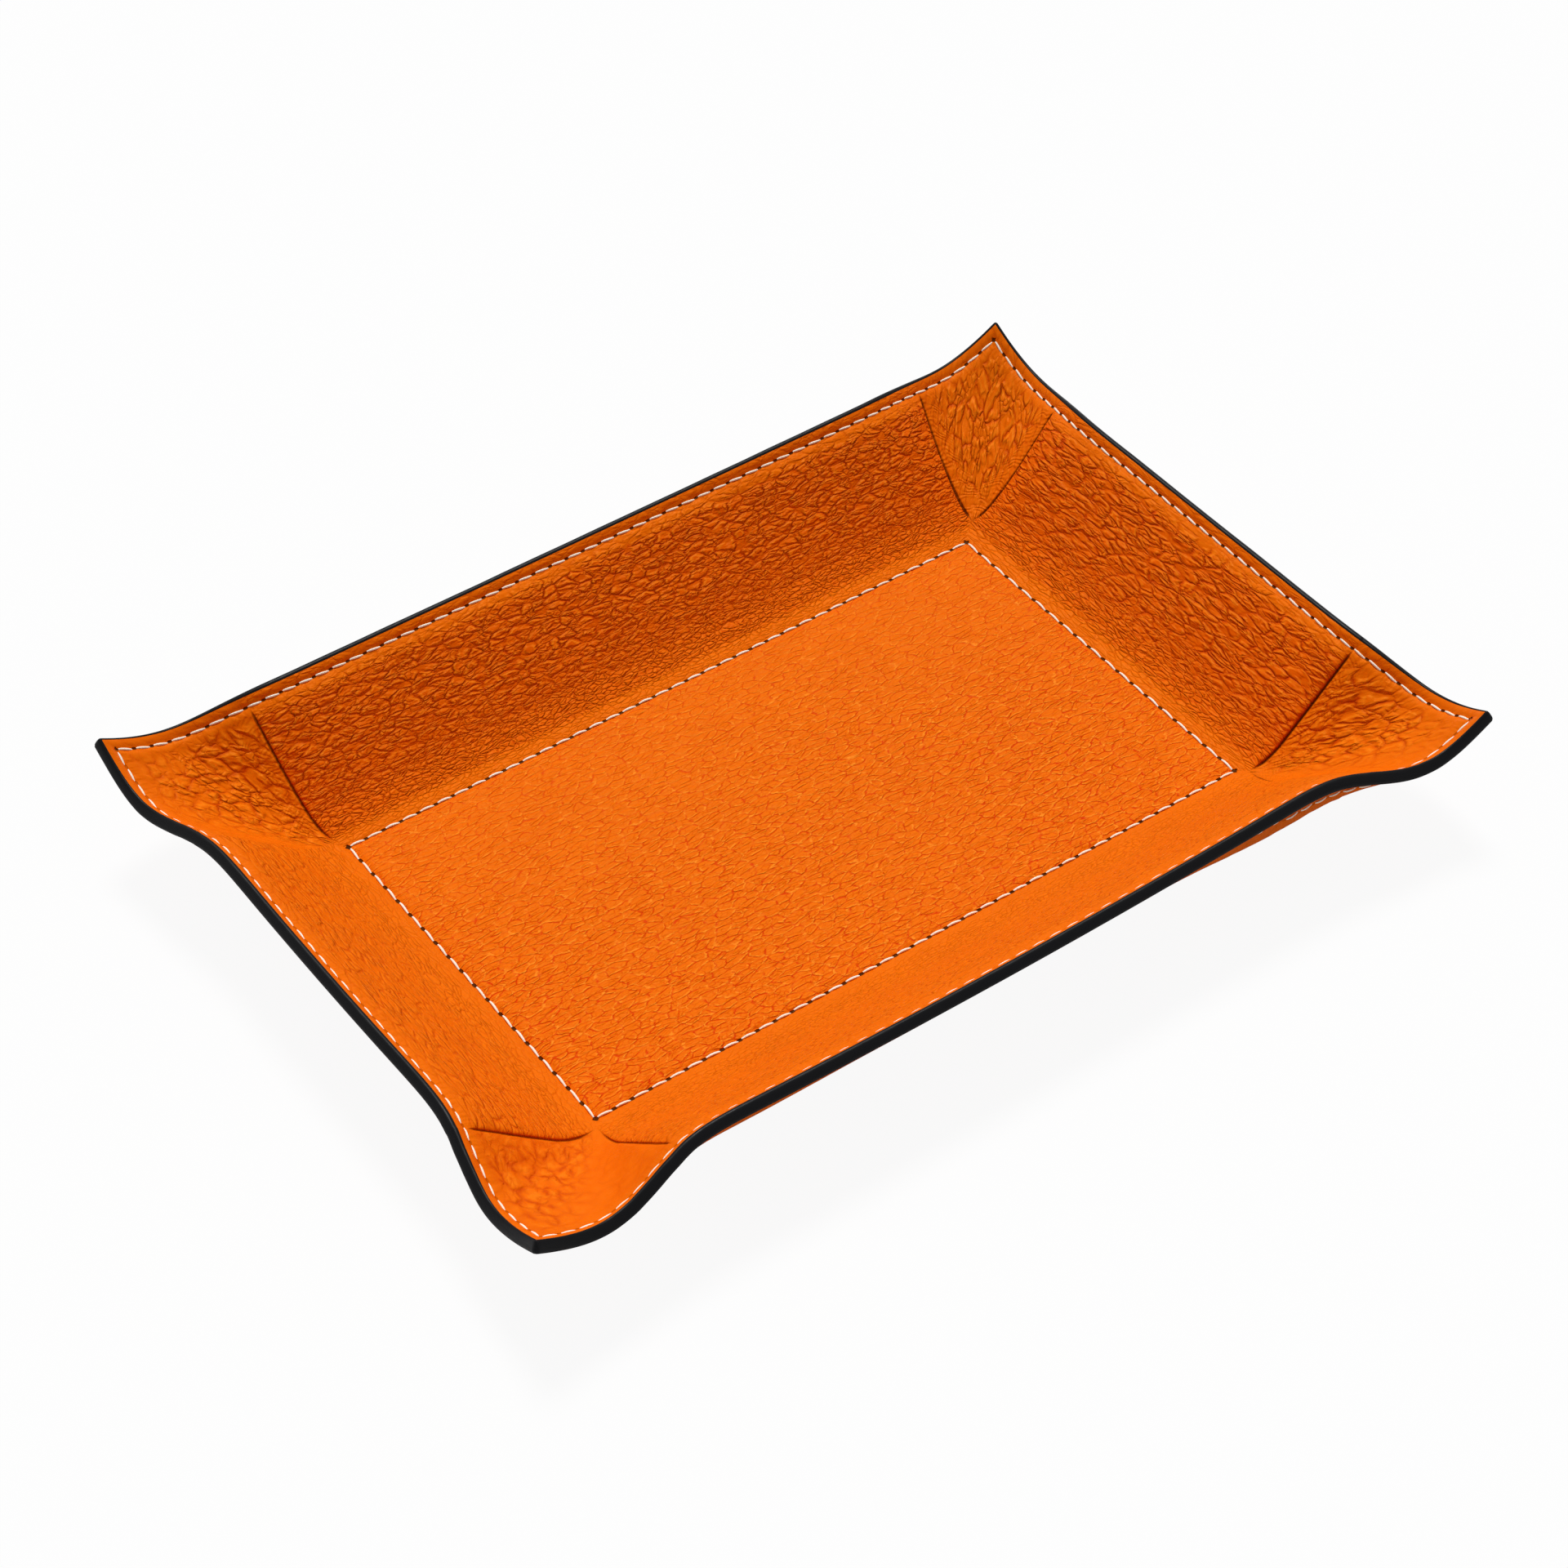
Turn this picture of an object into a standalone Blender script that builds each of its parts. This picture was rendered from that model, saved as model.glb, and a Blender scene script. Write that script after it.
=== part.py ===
"""A rectangular leather tray, moulded from two glued and stitched skins with stiff boards between them.

The flat pattern is a rectangle. A place on it is given by u along the length and v across the width,
both from the middle, in metres of flat leather. One formula bends that pattern into the tray: the base
stays flat as far as its seam, each wall follows a foot curve and then a straight slope, and each corner
is a shallow cone about the corner of the base, which starts softly inside the ends of the two walls and
flares out to a lifted tip. Every layer is that surface, set down along its normal by the thickness of what
lies above it.

The origin is under the middle of the tray, on the surface it stands on. X runs along the length.
"""
import math

import bmesh
import bpy
from mathutils import Vector

# Base, between the rows of stitches that box it in
BASE_LENGTH = 0.1900
BASE_WIDTH = 0.1076

# Walls, measured on the flat leather from the base seam to the cut edge
WALL_WIDTH = 0.0452
WALL_SLOPE = math.radians(42.6)
LONG_WALL_END_SLOPE = math.radians(45.3)
SHORT_WALL_END_SLOPE = math.radians(43.8)
FOOT_LEAD = 0.0020
FOOT_ARC = 0.0114

# Corners, which lie flatter than the walls and lift at the tip. CORNER_EASE is how far inside a wall's end
# its corner starts, as a share of the distance from the base
CORNER_SLOPE = math.radians(26.4)
CORNER_SHARPNESS = 3.4
CORNER_EASE = 0.56
TIP_LIFT = 0.0029

# Layers
LEATHER = 0.0013
BOARD = 0.0012
GLUE_LINE = 0.0003

# Creases, where a wall board ends and the leather steps down into the corner
CREASE_OFFSET = 0.0030
CREASE_STEP = 0.0026
CREASE_REACH = 0.0140
CREASE_FADE = 0.0080

# Seams
SEAM_MARGIN = 0.0028
SEAM_EASE = 0.0030
SEAM_DENT = 0.0002
BOARD_PLAY = 0.0004
STITCH_PITCH = 0.0050
BASE_END_PITCH = 0.0057
RIM_END_PITCH = 0.0049
THREAD = 0.0008
THREAD_GAP = 0.0003
STITCH_CROWN = 0.0002
BOBBIN_SLACK = 0.0001

# Paint on the cut edge
PAINT = 0.0006
PAINT_GAP = 0.0003
PAINT_BULGE = 0.0003
PAINT_LIP = 0.0001

# Spacing of the lines that the layers are drawn on
BASE_CELL = 0.0550
CORNER_CELL = 0.0085
WALL_CELL = 0.0065
LEAST_CELL = 0.0004
NORMAL_PROBE = 0.0001

MERGE = 0.0001
PAINT_ROWS = 3
THREAD_SIDES = 3

HALF_LENGTH = BASE_LENGTH / 2
HALF_WIDTH = BASE_WIDTH / 2
BOARD_LAYER = BOARD + GLUE_LINE
BASE_HEIGHT = LEATHER + GLUE_LINE + BOARD_LAYER + LEATHER
RIM_SEAM = WALL_WIDTH - SEAM_MARGIN
BOARD_TOP = RIM_SEAM - SEAM_EASE


def share_of(value):
    return max(0.0, min(1.0, value))


def profile(length, slope):
    """Run and rise of a wall after a length of leather: a flat lead, an arc up to the slope, then straight."""
    on_arc = max(0.0, min(length - FOOT_LEAD, FOOT_ARC))
    straight = max(0.0, length - FOOT_LEAD - FOOT_ARC)
    turn = slope * on_arc / FOOT_ARC
    radius = FOOT_ARC / slope
    run = min(length, FOOT_LEAD) + radius * math.sin(turn) + straight * math.cos(slope)
    rise = radius * (1 - math.cos(turn)) + straight * math.sin(slope)
    return run, rise


def slope_at(u, v, bearing):
    """The walls change slope a little towards their ends, and between them the corner lies flatter."""
    long_wall = WALL_SLOPE + (LONG_WALL_END_SLOPE - WALL_SLOPE) * share_of(u / HALF_LENGTH) ** 2
    short_wall = WALL_SLOPE + (SHORT_WALL_END_SLOPE - WALL_SLOPE) * share_of(v / HALF_WIDTH) ** 2
    across = math.sin(bearing) ** 2
    wall = long_wall * across + short_wall * (1 - across)
    corner = 1 - abs(math.cos(2 * bearing)) ** CORNER_SHARPNESS
    return wall + (CORNER_SLOPE - wall) * corner


def past_softly(beyond, ease):
    """Nothing up to -ease, the whole distance from ease on, and a parabola between the two."""
    if beyond <= -ease:
        return 0.0
    if beyond >= ease:
        return beyond
    return (beyond + ease) ** 2 / (4 * ease)


def tray_surface(u, v):
    """The nominal upper face of the tray at a place on the quarter of the pattern where u and v are positive."""
    past_end = u - HALF_LENGTH
    past_side = v - HALF_WIDTH
    soft_end = past_softly(past_end, CORNER_EASE * max(0.0, past_side))
    soft_side = past_softly(past_side, CORNER_EASE * max(0.0, past_end))
    length = math.hypot(soft_end, soft_side)
    bearing = math.atan2(soft_side, soft_end)
    run, rise = profile(length, slope_at(u, v, bearing))
    tip_share = share_of((length - WALL_WIDTH) / (WALL_WIDTH * (math.sqrt(2) - 1)))
    return Vector(
        (
            u - soft_end + run * math.cos(bearing),
            v - soft_side + run * math.sin(bearing),
            BASE_HEIGHT + rise + TIP_LIFT * tip_share**2,
        )
    )


def tray_normal(u, v):
    along = tray_surface(u + NORMAL_PROBE, v) - tray_surface(u - NORMAL_PROBE, v)
    across = tray_surface(u, v + NORMAL_PROBE) - tray_surface(u, v - NORMAL_PROBE)
    return along.cross(across).normalized()


def crease_share(past_crease_line, along_crease):
    """How far the leather has stepped down beside one crease: fast across it, then easing back."""
    past = past_crease_line - CREASE_OFFSET
    stepped = share_of(past / CREASE_STEP)
    easing = share_of(1 - (past - CREASE_STEP) / CREASE_REACH) ** 2
    fade_in = share_of(along_crease / CREASE_FADE)
    fade_out = share_of((RIM_SEAM - along_crease) / CREASE_FADE)
    return stepped * easing * fade_in * fade_out


def seam_share(u, v):
    """One on a row of stitches, falling to nothing at SEAM_EASE from it."""
    past_end = u - HALF_LENGTH
    past_side = v - HALF_WIDTH
    from_base_seam = abs(max(past_end, past_side))
    from_rim_seam = abs(max(past_end, past_side) - RIM_SEAM)
    return share_of(1 - min(from_base_seam, from_rim_seam) / SEAM_EASE)


def inner_depth(u, v):
    """How far the inner leather's face lies below the nominal surface."""
    past_end = max(0.0, u - HALF_LENGTH)
    past_side = max(0.0, v - HALF_WIDTH)
    recess = max(crease_share(past_end, past_side), crease_share(past_side, past_end))
    return BOARD_LAYER * recess + SEAM_DENT * seam_share(u, v)


def board_share(u, v):
    """One where a board parts the two skins, nothing on the seams and in the corners."""
    past_end = u - HALF_LENGTH
    past_side = v - HALF_WIDTH
    base = min(-past_end, -past_side) / SEAM_EASE
    crease_end = CREASE_OFFSET + CREASE_STEP
    long_wall = min(
        past_side / SEAM_EASE,
        (RIM_SEAM - past_side) / SEAM_EASE,
        (crease_end - past_end) / CREASE_STEP,
    )
    short_wall = min(
        past_end / SEAM_EASE,
        (RIM_SEAM - past_end) / SEAM_EASE,
        (crease_end - past_side) / CREASE_STEP,
    )
    return share_of(max(base, long_wall, short_wall))


def outer_depth(u, v):
    """How far the outer leather's upper face lies below the nominal surface."""
    skins_closed = inner_depth(u, v) + LEATHER + GLUE_LINE
    skins_parted = LEATHER + GLUE_LINE + BOARD_LAYER * board_share(u, v)
    return max(skins_closed, skins_parted)


def board_depth(u, v):
    return LEATHER + GLUE_LINE


def set_down(u, v, depth):
    return tray_surface(u, v) - tray_normal(u, v) * depth


def grid_lines(marks, longest_cell):
    """The marks in order, with the wide gaps between them divided evenly."""
    ordered = sorted(marks)
    lines = ordered[:1]
    for mark in ordered[1:]:
        gap = mark - lines[-1]
        if gap < LEAST_CELL:
            continue
        count = max(1, math.ceil((gap - LEAST_CELL) / longest_cell))
        start = lines[-1]
        lines += [start + gap * step / count for step in range(1, count + 1)]
    return lines


def pattern_lines(half_base):
    """The places across the pattern that a layer is drawn on: seams, board edges, creases and the foot."""
    corner_start = half_base - CORNER_EASE * WALL_WIDTH
    base = grid_lines([0.0, corner_start], BASE_CELL)
    base += grid_lines([corner_start, half_base - SEAM_EASE, half_base], CORNER_CELL)[1:]
    marks = [
        0.0,
        SEAM_EASE,
        CREASE_OFFSET,
        CREASE_OFFSET + CREASE_STEP,
        FOOT_LEAD + FOOT_ARC,
        BOARD_TOP,
        RIM_SEAM,
        WALL_WIDTH,
    ]
    return base + [half_base + line for line in grid_lines(marks, WALL_CELL)[1:]]


U_LINES = pattern_lines(HALF_LENGTH)
V_LINES = pattern_lines(HALF_WIDTH)


def clipped_lines(lines, low, high):
    """The lines strictly between two limits, with the limits themselves as the ends."""
    kept = [line for line in lines if low + LEAST_CELL < line < high - LEAST_CELL]
    return [low] + kept + [high]


def clear_scene():
    for scene_object in list(bpy.data.objects):
        bpy.data.objects.remove(scene_object, do_unlink=True)


def new_collection(name):
    collection = bpy.data.collections.new(name)
    bpy.context.scene.collection.children.link(collection)
    return collection


def new_material(name, color, roughness):
    material = bpy.data.materials.new(name)
    material.use_nodes = True
    shader = material.node_tree.nodes["Principled BSDF"]
    shader.inputs["Base Color"].default_value = (*color, 1.0)
    shader.inputs["Roughness"].default_value = roughness
    shader.inputs["Metallic"].default_value = 0.0
    return material


def sheet_mesh(name, columns, rows, place):
    """A grid of columns by rows whose corners are moved to place(column, row)."""
    sheet = bmesh.new()
    across = len(columns) - 1
    up = len(rows) - 1
    bmesh.ops.create_grid(sheet, x_segments=across, y_segments=up, size=1)
    for corner in sheet.verts:
        column = round((corner.co.x + 1) / 2 * across)
        row = round((corner.co.y + 1) / 2 * up)
        corner.co = place(columns[column], rows[row])
    bmesh.ops.triangulate(sheet, faces=sheet.faces[:], quad_method="FIXED")
    mesh = bpy.data.meshes.new(name)
    sheet.to_mesh(mesh)
    sheet.free()
    return mesh


def add_object(name, data, collection, material):
    piece = bpy.data.objects.new(name, data)
    data.materials.append(material)
    collection.objects.link(piece)
    return piece


def add_mirror(piece, over_x, over_y):
    mirror = piece.modifiers.new("halves", "MIRROR")
    mirror.use_axis = (over_x, over_y, False)
    mirror.use_clip = True
    mirror.merge_threshold = MERGE


def add_thickness(piece, thickness, offset, even):
    """Offset -1 puts the thickness under the surface, 1 on top of it. even keeps it full at bends."""
    shell = piece.modifiers.new("thickness", "SOLIDIFY")
    shell.thickness = thickness
    shell.offset = offset
    shell.use_even_offset = even


def make_skin(name, depth_at, even, collection, material):
    def place(u, v):
        return set_down(u, v, depth_at(u, v))

    skin = add_object(name, sheet_mesh(name, U_LINES, V_LINES, place), collection, material)
    add_mirror(skin, True, True)
    add_thickness(skin, LEATHER, -1, even)
    return skin


def make_base_board(collection, material):
    """A flat panel that stops short of the base seam on all four sides."""
    length = BASE_LENGTH - 2 * (SEAM_EASE + BOARD_PLAY)
    width = BASE_WIDTH - 2 * (SEAM_EASE + BOARD_PLAY)
    middle = LEATHER + GLUE_LINE + BOARD / 2
    panel = bmesh.new()
    bmesh.ops.create_cube(panel, size=1)
    bmesh.ops.scale(panel, vec=(length, width, BOARD), verts=panel.verts)
    bmesh.ops.translate(panel, vec=(0, 0, middle), verts=panel.verts)
    mesh = bpy.data.meshes.new("base_board")
    panel.to_mesh(mesh)
    panel.free()
    return add_object("base_board", mesh, collection, material)


def make_wall_board(name, along_length, side, collection, material):
    """A curved panel inside one wall, as long as the base, from the foot almost to the rim seam.

    along_length is true for the walls that run along X. side is 1 or -1, for the wall on the positive or
    the negative side of the tray.
    """
    half_base, end_lines, rise_lines, rise_base = (
        (HALF_LENGTH, U_LINES, V_LINES, HALF_WIDTH)
        if along_length
        else (HALF_WIDTH, V_LINES, U_LINES, HALF_LENGTH)
    )
    ends = clipped_lines(end_lines, 0.0, half_base)
    rises = clipped_lines(
        rise_lines,
        rise_base + SEAM_EASE + BOARD_PLAY,
        rise_base + BOARD_TOP - BOARD_PLAY,
    )

    def place(u, v):
        spot = set_down(u, v, board_depth(u, v))
        if along_length:
            spot.y *= side
        else:
            spot.x *= side
        return spot

    columns, rows = (ends, rises) if along_length else (rises, ends)
    mesh = sheet_mesh(name, columns, rows, place)
    if side < 0:
        mesh.flip_normals()
    board = add_object(name, mesh, collection, material)
    add_mirror(board, along_length, not along_length)
    add_thickness(board, BOARD, -1, False)
    return board


def rim_stations():
    """Each line that meets the cut edge on one quarter, from the middle of the long side round the tip.

    A station is its place on the pattern, then whether the edge there faces the side and the end.
    """
    edge_u = U_LINES[-1]
    edge_v = V_LINES[-1]
    long_side = [(u, edge_v, True, False) for u in U_LINES[:-1]]
    short_side = [(edge_u, v, False, True) for v in reversed(V_LINES[:-1])]
    return long_side + [(edge_u, edge_v, True, True)] + short_side


def edge_outward(u, v, faces_side, faces_end):
    """The direction square to the cut edge in the leather's own surface, mitred at the tip."""
    normal = tray_normal(u, v)
    if faces_side:
        along = tray_surface(u + NORMAL_PROBE, v) - tray_surface(u - NORMAL_PROBE, v)
        past_side = normal.cross(along).normalized()
    if faces_end:
        along = tray_surface(u, v + NORMAL_PROBE) - tray_surface(u, v - NORMAL_PROBE)
        past_end = along.cross(normal).normalized()
    if faces_side and faces_end:
        return (past_side + past_end) / (1 + past_side.dot(past_end))
    return past_side if faces_side else past_end


def make_edge_paint(collection, material):
    """A rounded coat over the cut edges of both skins, with a small lip past each face."""
    stack = LEATHER + GLUE_LINE + LEATHER
    stations = rim_stations()

    def place(station, row_share):
        u, v, faces_side, faces_end = stations[station]
        depth = -PAINT_LIP + (stack + 2 * PAINT_LIP) * row_share
        bulge = PAINT_BULGE * math.sin(math.pi * row_share)
        outward = edge_outward(u, v, faces_side, faces_end)
        return set_down(u, v, inner_depth(u, v) + depth) + outward * (PAINT_GAP + bulge)

    rows = [row / PAINT_ROWS for row in range(PAINT_ROWS + 1)]
    mesh = sheet_mesh("edge_paint", range(len(stations)), rows, place)
    paint = add_object("edge_paint", mesh, collection, material)
    add_mirror(paint, True, True)
    add_thickness(paint, PAINT, 1, False)
    return paint


def bracket(value, lines):
    """The two lines either side of a value, and how far it lies between them."""
    for low, high in zip(lines, lines[1:]):
        if value <= high:
            return low, high, (value - low) / (high - low)
    return lines[-2], lines[-1], 1.0


def face_spot(u, v, depth_at, lift):
    """A place at a lift above a layer's drawn facets, for u and v of either sign."""
    low_u, high_u, u_share = bracket(abs(u), U_LINES)
    low_v, high_v, v_share = bracket(abs(v), V_LINES)

    def corner(line_u, line_v):
        normal = tray_normal(line_u, line_v)
        return tray_surface(line_u, line_v) + normal * (lift - depth_at(line_u, line_v))

    near = corner(low_u, low_v).lerp(corner(high_u, low_v), u_share)
    far = corner(low_u, high_v).lerp(corner(high_u, high_v), u_share)
    spot = near.lerp(far, v_share)
    spot.x = math.copysign(spot.x, u)
    spot.y = math.copysign(spot.y, v)
    return spot


def seam_path(half_u, half_v, end_pitch, beats):
    """Places round a rectangle of stitches on the pattern, with a hole at each corner.

    The stitches along the two ends have a pitch of their own, to fit a whole number between the corners.
    beats is how many places each stitch has: one at its hole and, if two, one at the middle of its float.
    """
    corners = [(half_u, half_v), (-half_u, half_v), (-half_u, -half_v), (half_u, -half_v)]
    path = []
    for (from_u, from_v), (to_u, to_v) in zip(corners, corners[1:] + corners[:1]):
        side = math.hypot(to_u - from_u, to_v - from_v)
        pitch = end_pitch if from_u == to_u else STITCH_PITCH
        count = beats * round(side / pitch)
        for step in range(count):
            share = step / count
            path.append((from_u + (to_u - from_u) * share, from_v + (to_v - from_v) * share))
    return path


def make_thread_section(collection):
    """The small polygon, drawn clockwise, that is carried along a seam to give the thread its thickness."""
    section = bpy.data.curves.new("thread_section", "CURVE")
    section.dimensions = "2D"
    spline = section.splines.new("POLY")
    spline.points.add(THREAD_SIDES - 1)
    for side, point in enumerate(spline.points):
        turn = -2 * math.pi * side / THREAD_SIDES
        point.co = (THREAD / 2 * math.cos(turn), THREAD / 2 * math.sin(turn), 0, 1)
    spline.use_cyclic_u = True
    guide = bpy.data.objects.new("thread_section", section)
    guide.hide_render = True
    guide.display_type = "WIRE"
    collection.objects.link(guide)
    return guide


def make_thread(name, path, lift_at, depth_at, section, collection, material):
    """One closed length of thread: lift_at gives each place's height above the layer's face."""
    thread = bpy.data.curves.new(name, "CURVE")
    thread.dimensions = "3D"
    thread.bevel_mode = "OBJECT"
    thread.bevel_object = section
    spline = thread.splines.new("POLY")
    spline.points.add(len(path) - 1)
    for step, (point, (u, v)) in enumerate(zip(spline.points, path)):
        point.co = (*face_spot(u, v, depth_at, lift_at(step)), 1)
    spline.use_cyclic_u = True
    return add_object(name, thread, collection, material)


def make_seam(name, half_u, half_v, end_pitch, section, collection, material):
    """The needle thread that shows inside the tray, and the bobbin thread that lies on the outside.

    The bobbin thread runs straight from hole to hole, with a little slack off the leather.
    """
    clear = THREAD_GAP + THREAD / 2

    def needle_lift(step):
        return clear + STITCH_CROWN * (step % 2)

    def bobbin_lift(step):
        return -clear - BOBBIN_SLACK - LEATHER

    needle_path = seam_path(half_u, half_v, end_pitch, 2)
    bobbin_path = seam_path(half_u, half_v, end_pitch, 1)
    make_thread(name + "_needle_thread", needle_path, needle_lift, inner_depth, section, collection, material)
    make_thread(name + "_bobbin_thread", bobbin_path, bobbin_lift, outer_depth, section, collection, material)


def main():
    clear_scene()
    tray = new_collection("rectangular_tray")
    guides = new_collection("guides")

    inner_leather = new_material("inner_leather", (0.90, 0.17, 0.004), 0.45)
    outer_leather = new_material("outer_leather", (0.72, 0.11, 0.006), 0.50)
    board = new_material("board", (0.35, 0.27, 0.18), 0.90)
    paint = new_material("edge_paint", (0.012, 0.012, 0.014), 0.35)
    thread = new_material("thread", (0.83, 0.76, 0.64), 0.60)

    make_skin("inner_leather", inner_depth, False, tray, inner_leather)
    make_skin("outer_leather", outer_depth, True, tray, outer_leather)
    make_base_board(tray, board)
    make_wall_board("back_wall_board", True, 1, tray, board)
    make_wall_board("front_wall_board", True, -1, tray, board)
    make_wall_board("right_wall_board", False, 1, tray, board)
    make_wall_board("left_wall_board", False, -1, tray, board)
    make_edge_paint(tray, paint)

    section = make_thread_section(guides)
    make_seam("base", HALF_LENGTH, HALF_WIDTH, BASE_END_PITCH, section, tray, thread)
    rim_length = HALF_LENGTH + RIM_SEAM
    rim_width = HALF_WIDTH + RIM_SEAM
    make_seam("rim", rim_length, rim_width, RIM_END_PITCH, section, tray, thread)


main()
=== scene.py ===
"""The leather tray dressed for its picture: two moulded skins, a painted edge and four rows of stitches.

Every surface comes from the same flat pattern as the solids. A place on it is u along the length and v across
the width, in metres of flat leather from the middle. One formula bends the pattern into the tray, and each
layer is that surface moved along its normal by a height, which carries creases, dents and wrinkles.
"""
import math

import bpy
import numpy as np
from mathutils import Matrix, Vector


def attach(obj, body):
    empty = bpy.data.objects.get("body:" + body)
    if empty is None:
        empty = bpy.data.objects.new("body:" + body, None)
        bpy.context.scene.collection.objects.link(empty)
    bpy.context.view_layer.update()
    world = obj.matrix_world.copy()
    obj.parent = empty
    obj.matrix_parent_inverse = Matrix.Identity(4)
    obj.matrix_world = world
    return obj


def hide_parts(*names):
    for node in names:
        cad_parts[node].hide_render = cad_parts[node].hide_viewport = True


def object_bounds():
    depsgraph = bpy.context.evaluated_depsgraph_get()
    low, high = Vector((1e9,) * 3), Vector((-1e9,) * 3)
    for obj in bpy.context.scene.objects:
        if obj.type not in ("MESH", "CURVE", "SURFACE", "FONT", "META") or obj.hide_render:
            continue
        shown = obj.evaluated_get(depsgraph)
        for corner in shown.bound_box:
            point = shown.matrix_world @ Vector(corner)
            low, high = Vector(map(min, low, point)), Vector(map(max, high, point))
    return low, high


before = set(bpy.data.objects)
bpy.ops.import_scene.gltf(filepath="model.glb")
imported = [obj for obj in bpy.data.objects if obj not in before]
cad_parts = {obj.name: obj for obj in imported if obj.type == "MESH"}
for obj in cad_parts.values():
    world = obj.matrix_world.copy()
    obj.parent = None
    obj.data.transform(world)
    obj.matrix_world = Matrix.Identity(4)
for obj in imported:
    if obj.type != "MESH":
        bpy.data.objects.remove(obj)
solid_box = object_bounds()

MM = 0.001

# The tray's main sizes, as in the solids
HALF_LENGTH = 95.0 * MM
HALF_WIDTH = 53.8 * MM
WALL_WIDTH = 45.2 * MM
WALL_SLOPE = math.radians(42.6)
LONG_WALL_END_SLOPE = math.radians(45.3)
SHORT_WALL_END_SLOPE = math.radians(43.8)
FOOT_LEAD = 2.0 * MM
FOOT_ARC = 11.4 * MM
CORNER_SLOPE = math.radians(26.4)
CORNER_SHARPNESS = 3.4
CORNER_EASE = 0.56
TIP_LIFT = 2.9 * MM
LEATHER = 1.3 * MM
GLUE_LINE = 0.3 * MM
BOARD_LAYER = 1.5 * MM
BASE_HEIGHT = 4.4 * MM
RIM_SEAM = 42.4 * MM

# Leather over the boards: how far it stands up, and how it comes down to seams and creases
BOARD_RAISE = 0.7 * MM
FOOT_RISE = 10.0 * MM
TOP_FALL = 5.0 * MM
SHOULDER = 2.6 * MM
SEAM_DENT = 0.42 * MM
SEAM_DENT_WIDTH = 0.9 * MM
SEAM_SWELL = 0.12 * MM
SEAM_SWELL_AT = 2.4 * MM
SEAM_SWELL_WIDTH = 1.2 * MM
EDGE_ROUNDING = 0.26 * MM
EDGE_ROUNDING_REACH = 2.2 * MM
BOARD_MARGIN = 3.0 * MM
BOARD_PAST_END = 4.6 * MM

# Creases: the corner's leather sinks beside the end of a board, with a tight groove between them
CREASE_SINK = 0.45 * MM
CREASE_REACH = 11.0 * MM
CREASE_GROOVE = 0.45 * MM
CREASE_GROOVE_WIDTH = 0.5 * MM
CREASE_BLEND = 12.0 * MM
CREASE_RUN_IN = 5.0 * MM
CREASE_RUN_OUT = 3.0 * MM
CORNER_STEP = 0.6 * MM

# The creases that end the long walls and the short walls, at the back left, back right, front left and front
# right: how far one lies past the base corner near the base and at the rim, the power of its bend, how much
# the leather comes down at it, how strong its groove is, and where it starts and stops along the wall
LEAST_CREASE = 1.6 * MM
CREASES = {
    "long": (
        (-1.5, 6.5, 0.33, 0.25, 0.75, 3.0, 42.0),
        (5.6, 13.9, 1.6, 0.45, 1.0, 4.0, 42.4),
        (1.2, 2.4, 0.5, 0.32, 0.45, 3.0, 41.0),
        (2.4, 3.4, 1.0, 0.3, 0.5, 2.0, 20.0),
    ),
    "short": (
        (3.0, 3.6, 1.0, 0.06, 0.0, 3.0, 38.0),
        (4.8, 11.1, 2.1, 0.5, 1.0, 5.0, 42.4),
        (2.8, 4.1, 0.8, 0.5, 0.6, 1.5, 42.4),
        (2.4, 3.6, 0.7, 0.5, 0.85, 2.0, 42.4),
    ),
}

# Soft wrinkles that fan out in the corners, counted along an arc of this radius, and the sway of the walls
WRINKLE_ARC = 26.0 * MM
BROAD_WRINKLE = 0.16 * MM
NARROW_WRINKLE = 0.08 * MM
OUTER_WRINKLE = 0.14 * MM
WALL_SWAY = 0.10 * MM

# The outer leather stands out below the rim near the ends of the long walls, most at the front right
OUTER_PUFF = 1.9 * MM
OUTER_PUFF_AT = 80.0 * MM
OUTER_PUFF_REACH = 40.0 * MM
OUTER_PUFF_END = 18.0 * MM
OUTER_PUFF_ELSEWHERE = 0.2
OUTER_PUFF_FILL = 0.8

# Size of the leather's pebbles in millimetres, along the length and the width: on the base, the long walls
# and the short walls. Then outward and round a corner: back left, back right, front left and front right
PEBBLES = np.array([(2.6, 1.2), (2.9, 1.35), (1.4, 4.4), (3.4, 2.1), (4.6, 1.6), (3.4, 2.8), (4.0, 2.1)])
FAN_RADIUS = 12.0
FAN_SPREAD = 0.6

# How strong the grain is on the back and front walls, on the right and left walls and in the corners in the
# same order, and how far its plates climb from their edges, counted in pebbles
LONG_WALL_GRAIN = (1.12, 0.6)
SHORT_WALL_GRAIN = (1.06, 0.68)
CORNER_GRAIN = (1.25, 1.1, 0.8, 1.4)
CORNER_SHOULDERS = (0.42, 0.36, 0.70, 0.38)
WALL_SHOULDER = 0.32
BASE_SHOULDER = 0.30
BASE_FINENESS = 0.35
LEAST_GRAIN = 0.06

# Spacing of the lines that the skins are drawn on
BASE_CELL = 1.5 * MM
SEAM_CELL = 0.45 * MM
CREASE_CELL = 0.25 * MM
WALL_CELL = 0.72 * MM
SEAM_BAND = 4.0 * MM
CREASE_SLOT = 4.0 * MM
CREASE_GATHER = 24.0 * MM
OUTER_COARSER = 1.45
HIDDEN_STEP = 4
PROBE = 0.05 * MM

# Edge paint
PAINT_BULGE = 0.95 * MM
PAINT_TIP_LOSS = 0.4
PAINT_TIP_REACH = 24.0 * MM
PAINT_LIP = 0.1 * MM
PAINT_LIP_REACH = 0.2 * MM
PAINT_FIT = 0.03 * MM
PAINT_SQUARENESS = 3.4
PAINT_WAVE = 0.06
PAINT_ARC_POINTS = 13
TIP_FAN = 6

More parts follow.
